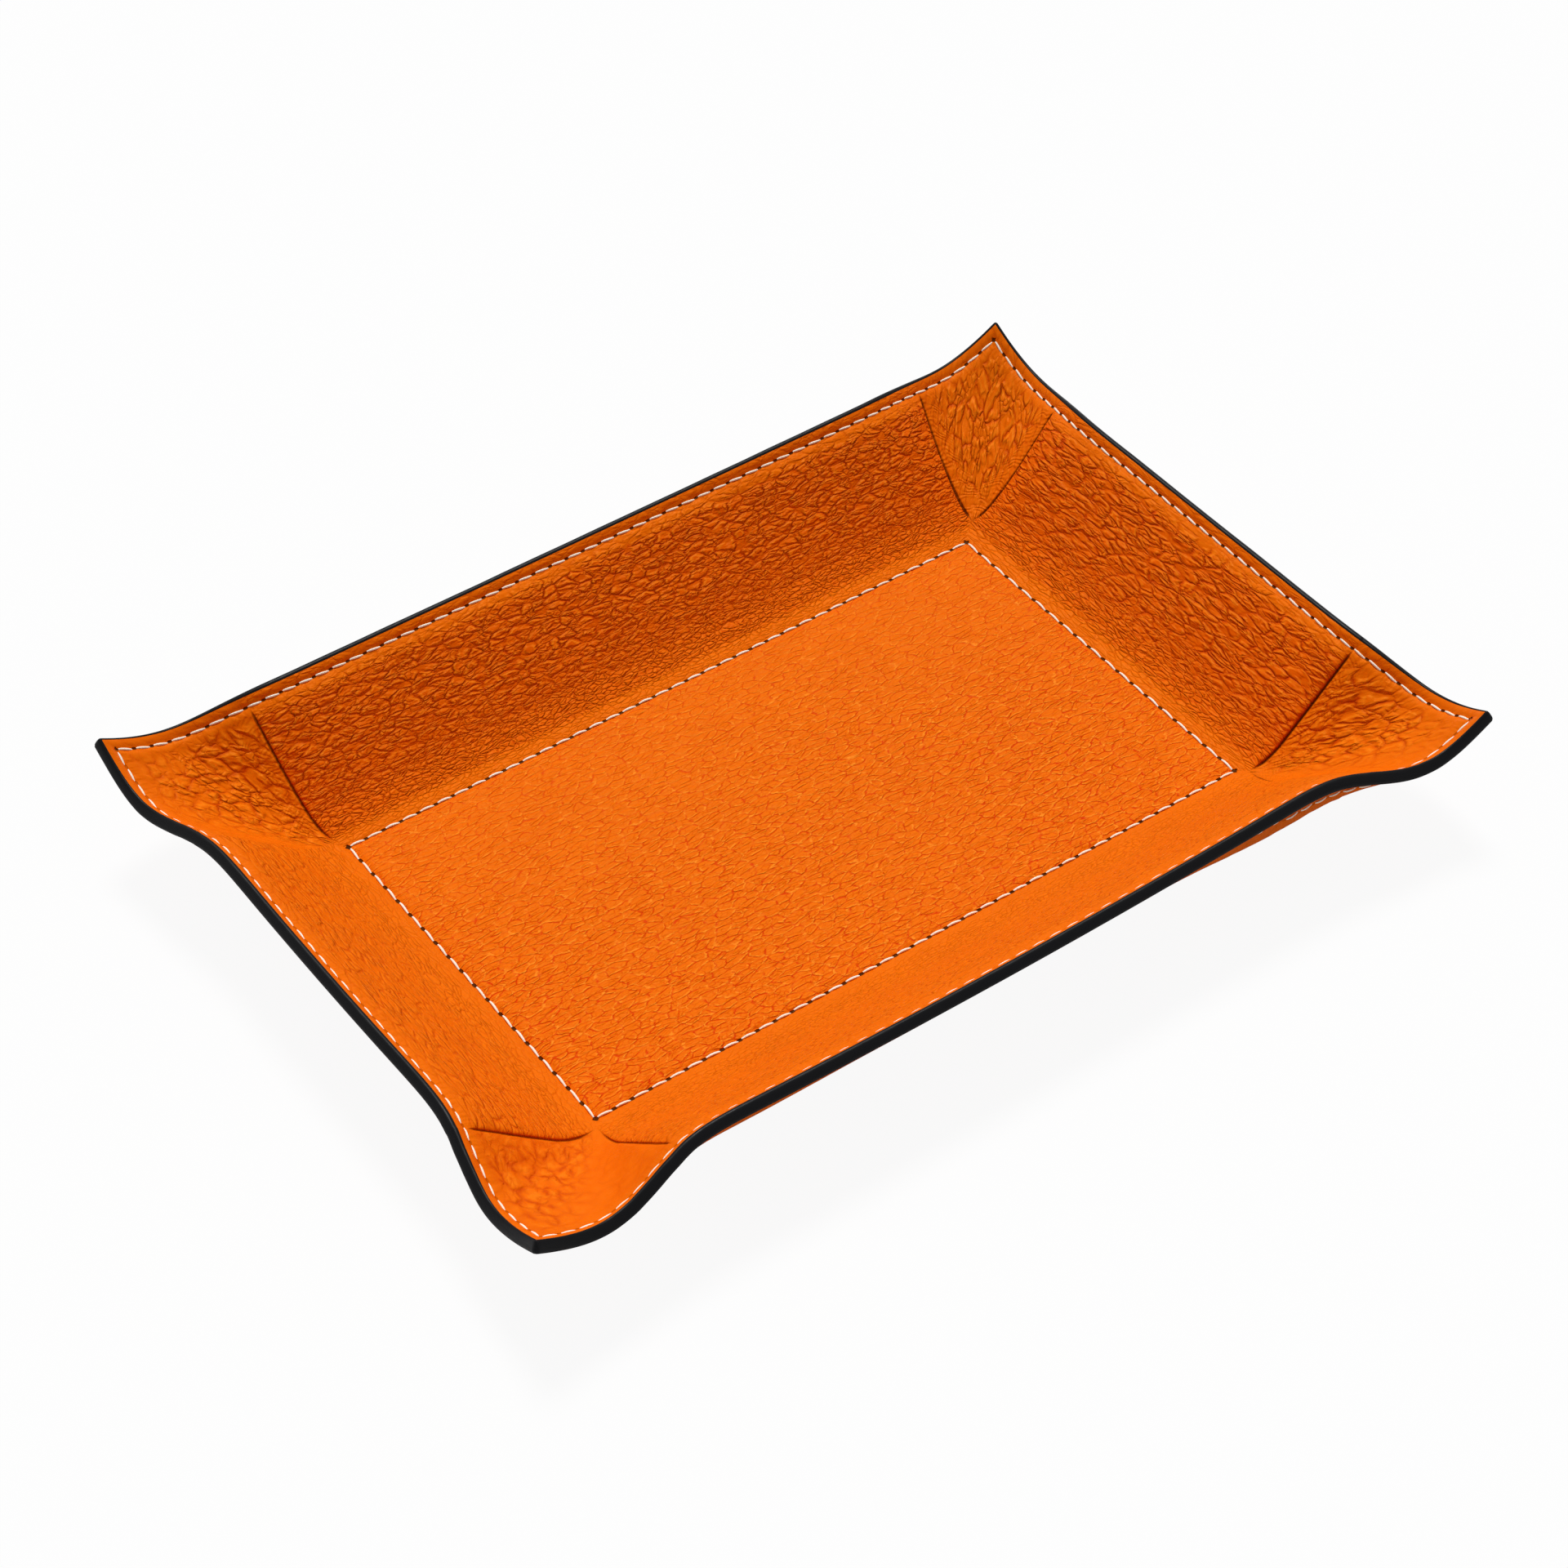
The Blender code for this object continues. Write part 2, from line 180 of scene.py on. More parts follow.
# Seams: half their length and width on the pattern, and how many stitches a long and a short side has. Then
# the thread's float over the leather
BASE_STITCHES = (HALF_LENGTH, HALF_WIDTH, 38, 19)
RIM_STITCHES = (HALF_LENGTH + RIM_SEAM, HALF_WIDTH + RIM_SEAM, 55, 39)
THREAD = 0.66 * MM
THREAD_FLATTEN = 0.8
THREAD_SIDES = 6
THREAD_END = 0.34
FLOAT_PLACES = (0.13, 0.18, 0.28, 0.42, 0.57, 0.72, 0.82, 0.87)
FLOAT_SLANT = 0.16 * MM
FLOAT_BURIED = 0.35 * MM
BASE_CROWN = 0.36 * MM
RIM_CROWNS = (0.12 * MM, 0.03 * MM, 0.02 * MM, 0.12 * MM)
OUTSIDE_CROWN = 0.24 * MM
# How deep the needle holes of the front and left rims, which face the key light, are cut, and how much
# painted shade they carry
LIT_RIM_HOLE_DEPTH = 0.35

NOISE_LATTICE = 256


def share(value):
    return np.clip(value, 0.0, 1.0)


def eased(value):
    """Zero to one along an S-shaped curve: 3 t squared minus 2 t cubed."""
    held = share(value)
    return held * held * (3 - 2 * held)


def bell(distance, width):
    """One at no distance, falling away as exp of minus the square of distance over width."""
    return np.exp(-((distance / width) ** 2))


def soft_noise(across, along, cell, seed):
    """From -1 to 1: random heights on a square lattice, eased between the lattice points."""
    heights = np.random.default_rng(seed).uniform(-1, 1, (NOISE_LATTICE, NOISE_LATTICE))
    x, y = across / cell, along / cell
    column, row = np.floor(x).astype(int), np.floor(y).astype(int)
    to_right, to_back = eased(x - column), eased(y - row)

    def between_columns(row):
        left, right = (heights[i % NOISE_LATTICE, row % NOISE_LATTICE] for i in (column, column + 1))
        return left * (1 - to_right) + right * to_right

    return between_columns(row) * (1 - to_back) + between_columns(row + 1) * to_back


# The shape of the tray


def wall_profile(length, slope):
    """Run and rise of a wall after a length of leather: a flat lead, an arc up to the slope, then straight.

    On the arc the run is radius times sin of the turn, and the rise is radius times one minus its cos.
    """
    on_arc = np.clip(length - FOOT_LEAD, 0.0, FOOT_ARC)
    straight = np.maximum(length - FOOT_LEAD - FOOT_ARC, 0.0)
    turn = slope * on_arc / FOOT_ARC
    radius = FOOT_ARC / slope
    run = np.minimum(length, FOOT_LEAD) + radius * np.sin(turn) + straight * np.cos(slope)
    rise = radius * (1 - np.cos(turn)) + straight * np.sin(slope)
    return run, rise


def past_base(u, v):
    """How far a place lies past the ends and past the sides of the base."""
    return np.abs(u) - HALF_LENGTH, np.abs(v) - HALF_WIDTH


def past_softly(beyond, ease):
    """Nothing up to minus ease, the whole distance from ease on, and a parabola between the two."""
    rounded = (beyond + ease) ** 2 / (4 * np.maximum(ease, PROBE * PROBE))
    return np.where(beyond <= -ease, 0.0, np.where(beyond >= ease, beyond, rounded))


def tray_surface(u, v):
    """The nominal inner face of the tray.

    Past the base, a place lies at a distance and a bearing from the nearest point of the base. It goes out
    by the run and up by the rise of a wall of that length, whose slope goes from the wall's own to the
    corner's flatter one as one minus the cos of twice the bearing to a power, and the tip lifts a little.
    A corner starts softly inside the ends of its two walls, further inside the higher up.
    """
    past_end, past_side = past_base(u, v)
    end = past_softly(past_end, CORNER_EASE * np.maximum(past_side, 0.0))
    side = past_softly(past_side, CORNER_EASE * np.maximum(past_end, 0.0))
    length = np.hypot(end, side)
    bearing = np.arctan2(side, end)
    long_wall = WALL_SLOPE + (LONG_WALL_END_SLOPE - WALL_SLOPE) * share(np.abs(u) / HALF_LENGTH) ** 2
    short_wall = WALL_SLOPE + (SHORT_WALL_END_SLOPE - WALL_SLOPE) * share(np.abs(v) / HALF_WIDTH) ** 2
    across = np.sin(bearing) ** 2
    wall = long_wall * across + short_wall * (1 - across)
    corner = 1 - np.abs(np.cos(2 * bearing)) ** CORNER_SHARPNESS
    run, rise = wall_profile(length, wall + (CORNER_SLOPE - wall) * corner)
    tip = share((length - WALL_WIDTH) / (WALL_WIDTH * (math.sqrt(2) - 1)))
    x = np.copysign(np.abs(u) - end + run * np.cos(bearing), u)
    y = np.copysign(np.abs(v) - side + run * np.sin(bearing), v)
    z = BASE_HEIGHT + rise + TIP_LIFT * tip**2
    return np.stack([x, y, z + 0 * x], axis=-1)


def unit(vectors):
    return vectors / np.linalg.norm(vectors, axis=-1, keepdims=True)


def surface_steps(u, v):
    """How the nominal surface moves for a small step along u and along v."""
    along = tray_surface(u + PROBE, v) - tray_surface(u - PROBE, v)
    across = tray_surface(u, v + PROBE) - tray_surface(u, v - PROBE)
    return along, across


def tray_normal(u, v):
    along, across = surface_steps(u, v)
    return unit(np.cross(along, across))


def by_corner(u, v, back_left, back_right, front_left, front_right):
    """One of four values, by the quarter of the tray that a place lies in."""
    back, front = np.where(u >= 0, back_right, back_left), np.where(u >= 0, front_right, front_left)
    return np.where(v >= 0, back, front)


def crease_sizes(u, v, wall):
    """The sizes of the crease that ends the given wall in each place's own quarter of the tray."""
    return [by_corner(u, v, *sizes) for sizes in zip(*CREASES[wall])]


def crease_line(along, near, far, bend):
    """How far a crease lies past the base corner: near plus a power of the distance along it."""
    return np.maximum(near * MM + (far - near) * MM * share(along / RIM_SEAM) ** bend, LEAST_CREASE)


def crease_facts(u, v, wall):
    """The distance from the crease that ends the wall, positive on the wall's side, its fold and groove."""
    past_end, past_side = past_base(u, v)
    along, across = (past_side, past_end) if wall == "long" else (past_end, past_side)
    near, far, bend, fold, groove, start, stop = crease_sizes(u, v, wall)
    shown = eased((along - start * MM) / CREASE_RUN_IN) * eased((stop * MM - along) / CREASE_RUN_OUT)
    return crease_line(along, near, far, bend) - across, fold * shown, groove * shown


def board_cover(rise, end_distance, fold):
    """One where the leather lies on a wall board, nothing at the foot, at the rim seam and in the corner.

    At a crease the leather comes down over the board's end as a quarter of an ellipse.
    """
    foot = eased(rise / FOOT_RISE)
    top = eased((RIM_SEAM - rise) / TOP_FALL)
    shoulder = np.sqrt(1 - (1 - share(end_distance / SHOULDER)) ** 2)
    on_wall = 1 - fold * (1 - shoulder)
    in_corner = (1 - fold) * eased(1 + end_distance / CREASE_BLEND)
    return foot * top * np.where(end_distance >= 0, on_wall, in_corner)


def crease_sink(distance, fold, groove):
    """How far the leather sinks: full at the crease, up the shoulder on one side, easing out on the other."""
    shoulder = np.sqrt(1 - (1 - share(distance / SHOULDER)) ** 2)
    corner_side = (1 - share(-distance / CREASE_REACH)) ** 2
    broad = np.where(distance >= 0, 1 - shoulder, corner_side)
    return fold * CREASE_SINK * broad + groove * CREASE_GROOVE * bell(distance, CREASE_GROOVE_WIDTH)


def corner_share(u, v):
    """One in a corner between its two creases, nothing on the walls and the base."""
    past_end, past_side = past_base(u, v)
    inside = -np.maximum(crease_facts(u, v, "long")[0], crease_facts(u, v, "short")[0])
    return share(0.5 + inside / CORNER_STEP) * (past_end > 0) * (past_side > 0)


def from_seams(u, v):
    """Distances outward from the base seam and from the rim seam."""
    past_end, past_side = past_base(u, v)
    out = np.maximum(past_end, past_side)
    return out, out - RIM_SEAM


def fan_place(u, v):
    """Distance from the base corner, and the bearing round it, for the wrinkles that spread to a tip."""
    past_end, past_side = past_base(u, v)
    past_end, past_side = np.maximum(past_end, 0), np.maximum(past_side, 0)
    return np.hypot(past_end, past_side), np.arctan2(past_side, past_end)


def corner_wrinkles(u, v):
    """Folds that fan out from the base corner to the tip: soft noise on the bearing and the distance."""
    distance, bearing = fan_place(u, v)
    quarter = np.where(u >= 0, 0.31, 0.0) + np.where(v >= 0, 0.17, 0.0)
    sideways = bearing * WRINKLE_ARC + quarter
    broad = soft_noise(sideways, distance * 0.28, 2.6 * MM, 11)
    narrow = soft_noise(sideways, distance * 0.4, 1.5 * MM, 12)
    shown = eased((distance - 5 * MM) / (10 * MM)) * eased((64 * MM - distance) / (30 * MM))
    return (BROAD_WRINKLE * broad + NARROW_WRINKLE * narrow) * shown * corner_share(u, v)


def skin_height(u, v):
    """The broad height of the inner leather's face over the nominal surface, without its wrinkles."""
    covers, sinks = [], []
    for wall, rise in zip(("short", "long"), past_base(u, v)):
        distance, fold, groove = crease_facts(u, v, wall)
        covers.append(board_cover(rise, distance, fold))
        sinks.append(crease_sink(distance, fold, groove))
    return BOARD_RAISE * np.maximum(*covers) - np.maximum(*sinks)


def seam_relief(u, v):
    """The dent that each row of stitches pulls, the swell on both sides of it, and the rounded cut edge."""
    from_base, from_rim = from_seams(u, v)
    height = 0.0
    for distance in (from_base, from_rim):
        height = height - SEAM_DENT * bell(distance, SEAM_DENT_WIDTH)
        height = height + SEAM_SWELL * bell(np.abs(distance) - SEAM_SWELL_AT, SEAM_SWELL_WIDTH)
    near_edge = share(1 - (WALL_WIDTH - RIM_SEAM - from_rim) / EDGE_ROUNDING_REACH)
    return height - EDGE_ROUNDING * near_edge**2


def inner_height(u, v):
    """The inner leather's face over the nominal surface."""
    walls = eased(np.maximum(*past_base(u, v)) / (6 * MM)) * eased(-from_seams(u, v)[1] / (4 * MM))
    sway = WALL_SWAY * soft_noise(u + 0.4, v + 0.4, 17 * MM, 21) * walls
    return skin_height(u, v) + seam_relief(u, v) + sway + corner_wrinkles(u, v)


def board_share(u, v):
    """One where a board parts the two skins, nothing on the seams and in the corners."""
    past_end, past_side = past_base(u, v)
    inside = -np.maximum(past_end, past_side)
    for rise, beyond in ((past_side, past_end), (past_end, past_side)):
        inside = np.maximum(inside, np.minimum(np.minimum(rise, RIM_SEAM - rise), BOARD_PAST_END - beyond))
    return eased(inside / BOARD_MARGIN)


def glued_height(u, v):
    """The inner leather's glued face, a leather's thickness under its broad height."""
    return skin_height(u, v) - LEATHER


def parting_height(u, v):
    """The outer leather's upper face: under the boards, or under the inner leather where no board is."""
    return np.minimum(skin_height(u, v), -BOARD_LAYER * board_share(u, v)) - LEATHER - GLUE_LINE


def outer_puff(u, v):
    """How far the outer leather stands out below the rim near the ends of the long walls.

    Along the wall it is one plus cos of the distance from its middle, halved. Past the board's end it makes
    up for the board's thickness, less and less into the corner.
    """
    past_end, past_side = past_base(u, v)
    below_rim = RIM_SEAM - past_side
    shown = eased((below_rim + 2.8 * MM) / (5.6 * MM)) * (1 - eased((below_rim - 3 * MM) / (18 * MM)))
    place = np.where((u > 0) & (v < 0), 1.0, OUTER_PUFF_ELSEWHERE) * (past_side > 0)
    wave = np.cos(math.pi * np.clip((np.abs(u) - OUTER_PUFF_AT) / OUTER_PUFF_REACH, -1, 1))
    hollow = BOARD_LAYER * (1 - board_share(u, v)) * (1 - eased(past_end / OUTER_PUFF_END))
    filled = OUTER_PUFF_FILL * hollow * (past_end > -OUTER_PUFF_END)
    return place * shown * (OUTER_PUFF * (1 + wave) / 2 + filled)


def outer_height(u, v):
    """The outside face of the tray: the seams pull it in, and the corners carry its own soft folds."""
    from_base, from_rim = from_seams(u, v)
    pulled = SEAM_DENT * (bell(from_base, SEAM_DENT_WIDTH) + bell(from_rim, SEAM_DENT_WIDTH))
    distance, bearing = fan_place(u, v)
    shown = eased((distance - 4 * MM) / (10 * MM)) * eased(-from_rim / (6 * MM))
    folds = OUTER_WRINKLE * soft_noise(bearing * WRINKLE_ARC + u, distance * 0.3, 2.8 * MM, 31) * shown
    puff = outer_puff(u, v)
    slanting = soft_noise((u + v) * 0.6 + 0.3, (u - v) * 0.12 + 0.3, 1.6 * MM, 33)
    height = parting_height(u, v) - LEATHER + pulled + folds * corner_share(u, v)
    return height - puff * (1 - 0.06 * slanting)


def set_at(u, v, height):
    """The nominal surface moved along its normal by a height."""
    return tray_surface(u, v) + tray_normal(u, v) * height[..., None]


# Meshes


def add_object(name, data):
    added = bpy.data.objects.new(name, data)
    bpy.context.scene.collection.objects.link(added)
    return added


def new_piece(name, points, faces, material, node_name, smooth_to=50):
    """A mesh object that rides on the tray and stands for its solid."""
    mesh = bpy.data.meshes.new(name)
    mesh.from_pydata(points.reshape(-1, 3), [], faces)
    mesh.shade_smooth()
    mesh.set_sharp_from_angle(angle=math.radians(smooth_to))
    mesh.materials.append(material)
    piece = add_object(name, mesh)
    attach(piece, "root")
    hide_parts(node_name)
    return piece


def add_attribute(piece, name, *parts, domain="POINT"):
    """Values per vertex, or per corner of a face: one array, or the three parts of a vector."""
    kind, key = ("FLOAT", "value") if len(parts) == 1 else ("FLOAT_VECTOR", "vector")
    values = np.stack(np.broadcast_arrays(*parts), axis=-1).astype(np.float32)
    piece.data.attributes.new(name, kind, domain).data.foreach_set(key, values.ravel())


def even_lines(start, stop, longest):
    """Lines from start up to, but not at, stop, evenly spaced and no further apart than longest."""
    count = max(1, math.ceil((stop - start) / longest - 0.001))
    return start + (stop - start) * np.arange(count) / count


def pattern_lines(half_base, coarser):
    """The lines across the pattern, close together at the seams and at the creases."""
    foot, rim = half_base + np.array([0, 2.5 * MM, CREASE_SLOT, 5.5 * MM]), half_base + RIM_SEAM
    marks = [0, half_base - SEAM_BAND, *foot, rim - 2 * MM, rim, half_base + WALL_WIDTH]
    gaps = [BASE_CELL, 1.4 * SEAM_CELL, SEAM_CELL, CREASE_CELL, CREASE_CELL, WALL_CELL, SEAM_CELL, SEAM_CELL]
    lines = [even_lines(start, stop, gap * coarser) for start, stop, gap in zip(marks, marks[1:], gaps)]
    half = np.concatenate([*lines, marks[-1:]])
    return np.concatenate([-half[:0:-1], half])


def gathered(lines, half_base, other, other_half, wall):
    """Moves the lines near the creases so that one of them follows each crease from the base to the rim."""
    out = np.abs(lines) - half_base
    along = np.abs(other) - other_half
    pull = eased(out / CREASE_SLOT) * (1 - eased((out - CREASE_SLOT) / CREASE_GATHER))
    near_corner = eased(1 + along / (18 * MM))
    u, v = (lines, other) if wall == "long" else (other, lines)
    line = crease_line(np.maximum(along, 0), *crease_sizes(u, v, wall)[:3])
    return lines + np.sign(lines) * (line - CREASE_SLOT) * pull * near_corner


def pattern_grid(coarser):
    """The places on the pattern, as two arrays of columns by rows, that the skins are drawn on."""
    columns = pattern_lines(HALF_LENGTH, coarser)[:, None]
    rows = pattern_lines(HALF_WIDTH, coarser)[None, :]
    v = gathered(rows, HALF_WIDTH, columns, HALF_LENGTH, "short")
    u = gathered(columns, HALF_LENGTH, v, HALF_WIDTH, "long")
    return u, v


def kept_steps(count, step):
    """Every step-th index of a row of lines, with the last one kept."""
    return np.unique(np.append(np.arange(0, count, step), count - 1))


def grid_faces(index, upward):
    """Four-sided faces over a grid of vertex numbers, or over several."""
    corners = [index[..., :-1, :-1], index[..., 1:, :-1], index[..., 1:, 1:], index[..., :-1, 1:]]
    if not upward:
        corners.reverse()
    return np.stack(corners, axis=-1).reshape(-1, 4)


def sheet_faces(fine_shape, columns, rows, fine_on_top):
    """Faces of a closed sheet: a fine grid, a coarse one of the kept lines, and the edge between them."""
    fine = np.arange(fine_shape[0] * fine_shape[1]).reshape(fine_shape)
    coarse = fine.size + np.arange(len(columns) * len(rows)).reshape(len(columns), len(rows))
    faces = grid_faces(fine, fine_on_top).tolist() + grid_faces(coarse, not fine_on_top).tolist()
    sides = [
        (fine[:, -1], coarse[:, -1], columns, True),
        (fine[:, 0], coarse[:, 0], columns, False),
        (fine[-1, :], coarse[-1, :], rows, False),
        (fine[0, :], coarse[0, :], rows, True),
    ]
    for fine_edge, coarse_edge, kept, forward in sides:
        for step, (first, last) in enumerate(zip(kept[:-1], kept[1:])):
            strip = fine_edge[first : last + 1].tolist() + coarse_edge[[step + 1, step]].tolist()
            faces.append(strip if forward == fine_on_top else strip[::-1])
    return faces


def add_grain_place(piece, u, v):
    """Where each corner of each face lies on the grain, counted in pebbles.

    A face belongs to the base, a wall or a corner by its middle, so that the grain turns at a seam or a
    crease and nowhere else.
    """
    mesh = piece.data
    vertex = np.empty(len(mesh.loops), dtype=np.int32)
    first, count = np.empty((2, len(mesh.polygons)), dtype=np.int32)
    mesh.loops.foreach_get("vertex_index", vertex)
    mesh.polygons.foreach_get("loop_start", first)
    mesh.polygons.foreach_get("loop_total", count)
    u, v = u[vertex], v[vertex]
    middle_u, middle_v = (np.add.reduceat(places, first) / count for places in (u, v))
    past_end, past_side = past_base(middle_u, middle_v)
    region = np.where(past_side > past_end, 1, 2) * (np.maximum(past_side, past_end) > 0)
    in_corner = corner_share(middle_u, middle_v) > 0.5
    region = np.where(in_corner, by_corner(middle_u, middle_v, 3, 4, 5, 6), region)
    region, in_corner = np.repeat(region, count), np.repeat(in_corner, count)
    distance, bearing = fan_place(u, v)
    outward = distance / MM + np.repeat(by_corner(middle_u, middle_v, 45.0, 135.0, 0.0, 90.0), count)
    sideways = (bearing - math.pi / 4) * (FAN_RADIUS + FAN_SPREAD * distance / MM)
    place = np.where(in_corner, (outward, sideways), (u / MM, v / MM)) / PEBBLES[region].T
    add_attribute(piece, "grain_place", *place, 0.0, domain="CORNER")


def skin_attributes(piece, u, v):
    """What the leather's material needs to know at each place."""
    past_end, past_side = past_base(u, v)
    in_corner = (past_end > 0) & (past_side > 0)
    from_long, _, long_groove = crease_facts(u, v, "long")
    from_short, _, short_groove = crease_facts(u, v, "short")
    # Needle holes are cut deepest and carry their full painted shade on the base seam and the back and right
    # rims, less on the lit front and left rims
    shaded = np.where(past_side > past_end, v > 0, u > 0) | (from_seams(u, v)[1] < -5 * MM)
    for name, parts in (
        ("flat_place", (u / MM, v / MM, 0.0)),
        ("crease_distance", (from_long / MM, from_short / MM, 0.0)),
        ("crease_force", (long_groove * in_corner, short_groove * in_corner, 0.0)),
        ("grain_kind", grain_kind(u, v)),
        ("rim_gathers", (*rim_gathers(u, v), 0.0)),
        ("hole_depth_and_shade", [np.where(shaded, 1.0, LIT_RIM_HOLE_DEPTH)]),
    ):
        add_attribute(piece, name, *parts)
    add_grain_place(piece, u, v)


def rim_gathers(u, v):
    """Where the rim seam gathers the leather below it into wrinkles: on the long and the short walls."""
    past_end, past_side = past_base(u, v)
    below = -from_seams(u, v)[1]
    shown = eased(below / (0.6 * MM)) * (1 - eased((below - 0.8 * MM) / (3.4 * MM)))
    on_long = past_side > past_end
    return shown * on_long, shown * ~on_long


def grain_kind(u, v):
    """How strong the grain is, how fine it is, and how far its plates climb from their edges, in pebbles.

    It is strong on the back wall and weaker near the seams and towards the front. It is fine at the foot of
    a wall and broad at the rim, and its plates climb soonest on the base.
    """
    past_end, past_side = past_base(u, v)
    from_base, from_rim = from_seams(u, v)
    on_long, on_short = np.where(v > 0, *LONG_WALL_GRAIN), np.where(u > 0, *SHORT_WALL_GRAIN)
    wall = np.where(past_side > past_end, on_long, on_short)
    distance, bearing = fan_place(u, v)
    at_front = eased((bearing - 0.70) / 0.28)
    front_half = by_corner(u, v, 1 - eased((bearing - 0.30) / 0.55), 0.0, at_front, at_front)
    tip = np.where(u * v < 0, eased((distance - 34 * MM) / (20 * MM)), 0.0)
    corner = by_corner(u, v, *CORNER_GRAIN) * (1 - 0.8 * front_half) * (1 - 0.6 * tip)
    for wall_name in ("long", "short"):
        distance, _, groove = crease_facts(u, v, wall_name)
        corner = corner * (1 - 0.75 * groove * bell(distance, 5 * MM))
    climbing = eased((from_base - 0.5 * MM) / (7 * MM))
    below_rim = 0.25 + 0.75 * eased((-from_rim - 1.0 * MM) / (4 * MM))
    in_corner = corner_share(u, v)
    strength = (wall + (corner - wall) * in_corner) * (0.30 + 0.70 * climbing) * below_rim
    fineness = (1 - eased((from_base - 3 * MM) / (24 * MM))) * (1 - 0.85 * in_corner)
    shoulder = WALL_SHOULDER + (by_corner(u, v, *CORNER_SHOULDERS) - WALL_SHOULDER) * in_corner
    patchy = 0.04 * soft_noise(u + 0.3, v + 0.3, 40 * MM, 5)
    base = 0.40 + patchy - 0.14 * eased((v + 0.3 * HALF_WIDTH) / (1.3 * HALF_WIDTH))
    outside = np.maximum(strength, LEAST_GRAIN), fineness, shoulder
    return [np.where(from_base > 0, *values) for values in zip(outside, (base, BASE_FINENESS, BASE_SHOULDER))]


def make_skin(node_name, material, coarser, face_height, hidden_height, upward):
    """A skin closed round its cut edge: fine on the face that shows, coarse on the glued side."""
    u, v = pattern_grid(coarser)
    columns, rows = kept_steps(u.shape[0], HIDDEN_STEP), kept_steps(u.shape[1], HIDDEN_STEP)
    hidden_u, hidden_v = u[np.ix_(columns, rows)], v[np.ix_(columns, rows)]
    face = set_at(u, v, face_height(u, v))
    hidden = set_at(hidden_u, hidden_v, hidden_height(hidden_u, hidden_v))
    points = np.concatenate([face.reshape(-1, 3), hidden.reshape(-1, 3)])
    faces = sheet_faces(u.shape, columns, rows, upward)
    piece = new_piece(node_name + "_sheet", points, faces, material, node_name)
    skin_attributes(piece, np.append(u, hidden_u), np.append(v, hidden_v))
    return u, v


def paint_section(thickness):
    """The coat's cross-section as two rows, out past the cut edge and down from the upper face.

    The outside is a rounded square: the bulge times one minus a power of the share of half the height. Two
    thin lips reach back over the faces, and the inside is flat along the cut edges.
    """
    climb = np.sin(np.linspace(-math.pi / 2, math.pi / 2, PAINT_ARC_POINTS))
    bulge = PAINT_BULGE * (1 - np.abs(climb) ** PAINT_SQUARENESS) ** 0.55
    depth = thickness / 2 + (thickness / 2 + PAINT_LIP) * climb
    lip = -np.array([(PAINT_LIP_REACH, PAINT_FIT), (0.45 * PAINT_LIP_REACH, PAINT_LIP * 0.8)])
    other_lip = [(out, thickness - down) for out, down in lip[::-1]]
    behind = [(PAINT_FIT, thickness + PAINT_FIT), (PAINT_FIT, -PAINT_FIT)]
    return np.concatenate([lip, np.stack([bulge, depth], axis=-1), other_lip, behind]).T


def rim_loop(u, v):
    """The places of the cut edge in order, anticlockwise from above, with each tip given several times.

    Also returns, for each place, the weights of the outward directions of its side and of its end.
    """
    turn = np.linspace(0, math.pi / 2, TIP_FAN)
    index = np.arange(u.size).reshape(u.shape)
    places, weights = [], []
    for side in (index[1:, 0], index[-1, 1:], index[-2::-1, -1], index[0, -2::-1]):
        places.append(np.append(side, np.repeat(side[-1], TIP_FAN - 1)))
        own = np.append(np.ones(len(side) - 1), np.cos(turn))
        next_side = np.append(np.zeros(len(side) - 1), np.sin(turn))
        weights.append((next_side, own) if len(weights) % 2 else (own, next_side))
    place = np.concatenate(places)
    return u.ravel()[place], v.ravel()[place], *np.concatenate(weights, axis=1)


def make_edge_paint(u, v, material):
    """The section carried round the cut edge, square to it, and round each tip, where it stands out less."""
    loop_u, loop_v, side_weight, end_weight = rim_loop(u, v)
    normal = tray_normal(loop_u, loop_v)
    along, across = surface_steps(loop_u, loop_v)
    past_side = unit(np.cross(normal, along)) * np.sign(loop_v)[:, None]
    past_end = unit(np.cross(across, normal)) * np.sign(loop_u)[:, None]
    outward = past_side * side_weight[:, None] + past_end * end_weight[:, None]
    at_tip = np.minimum(*past_base(loop_u, loop_v)) > WALL_WIDTH - PROBE
    mitre = np.where(at_tip[:, None], past_side + past_end, outward)
    edge = set_at(loop_u, loop_v, inner_height(loop_u, loop_v))
    thickness = 2 * LEATHER + GLUE_LINE + SEAM_DENT * 0.1
    out, down = paint_section(thickness)
    near_tip = eased(np.minimum(*past_base(loop_u, loop_v)) / PAINT_TIP_REACH)
    wave = 1 + PAINT_WAVE * soft_noise(loop_u + 0.5, loop_v + 0.5, 9 * MM, 41) - PAINT_TIP_LOSS * near_tip
    beyond = outward[:, None] * (np.maximum(out, 0) * wave[:, None])[..., None]
    within = mitre[:, None] * np.minimum(out, 0)[:, None]
    points = edge[:, None] + beyond + within - normal[:, None] * down[:, None]
    index = np.arange(points[..., 0].size).reshape(points.shape[:2])
    faces = grid_faces(np.pad(index, (0, 1), mode="wrap"), False).tolist()
    piece = new_piece("painted_edge", points, faces, material, "edge_paint", 60)
    along_edge = np.cumsum(np.linalg.norm(np.diff(edge, axis=0, prepend=edge[:1]), axis=1)) / MM
    add_attribute(piece, "edge_place", along_edge[:, None], down / MM, 0.0)


def seam_holes(half_u, half_v, *counts):
    """The holes of a seam round a rectangle of the pattern, in order, one of them at each corner."""
    corners = np.array([(half_u, half_v), (-half_u, half_v), (-half_u, -half_v), (half_u, -half_v)])
    sides = zip(corners, np.roll(corners, -1, axis=0), counts * 2)
    return np.concatenate([start + (end - start) * (np.arange(n) / n)[:, None] for start, end, n in sides])


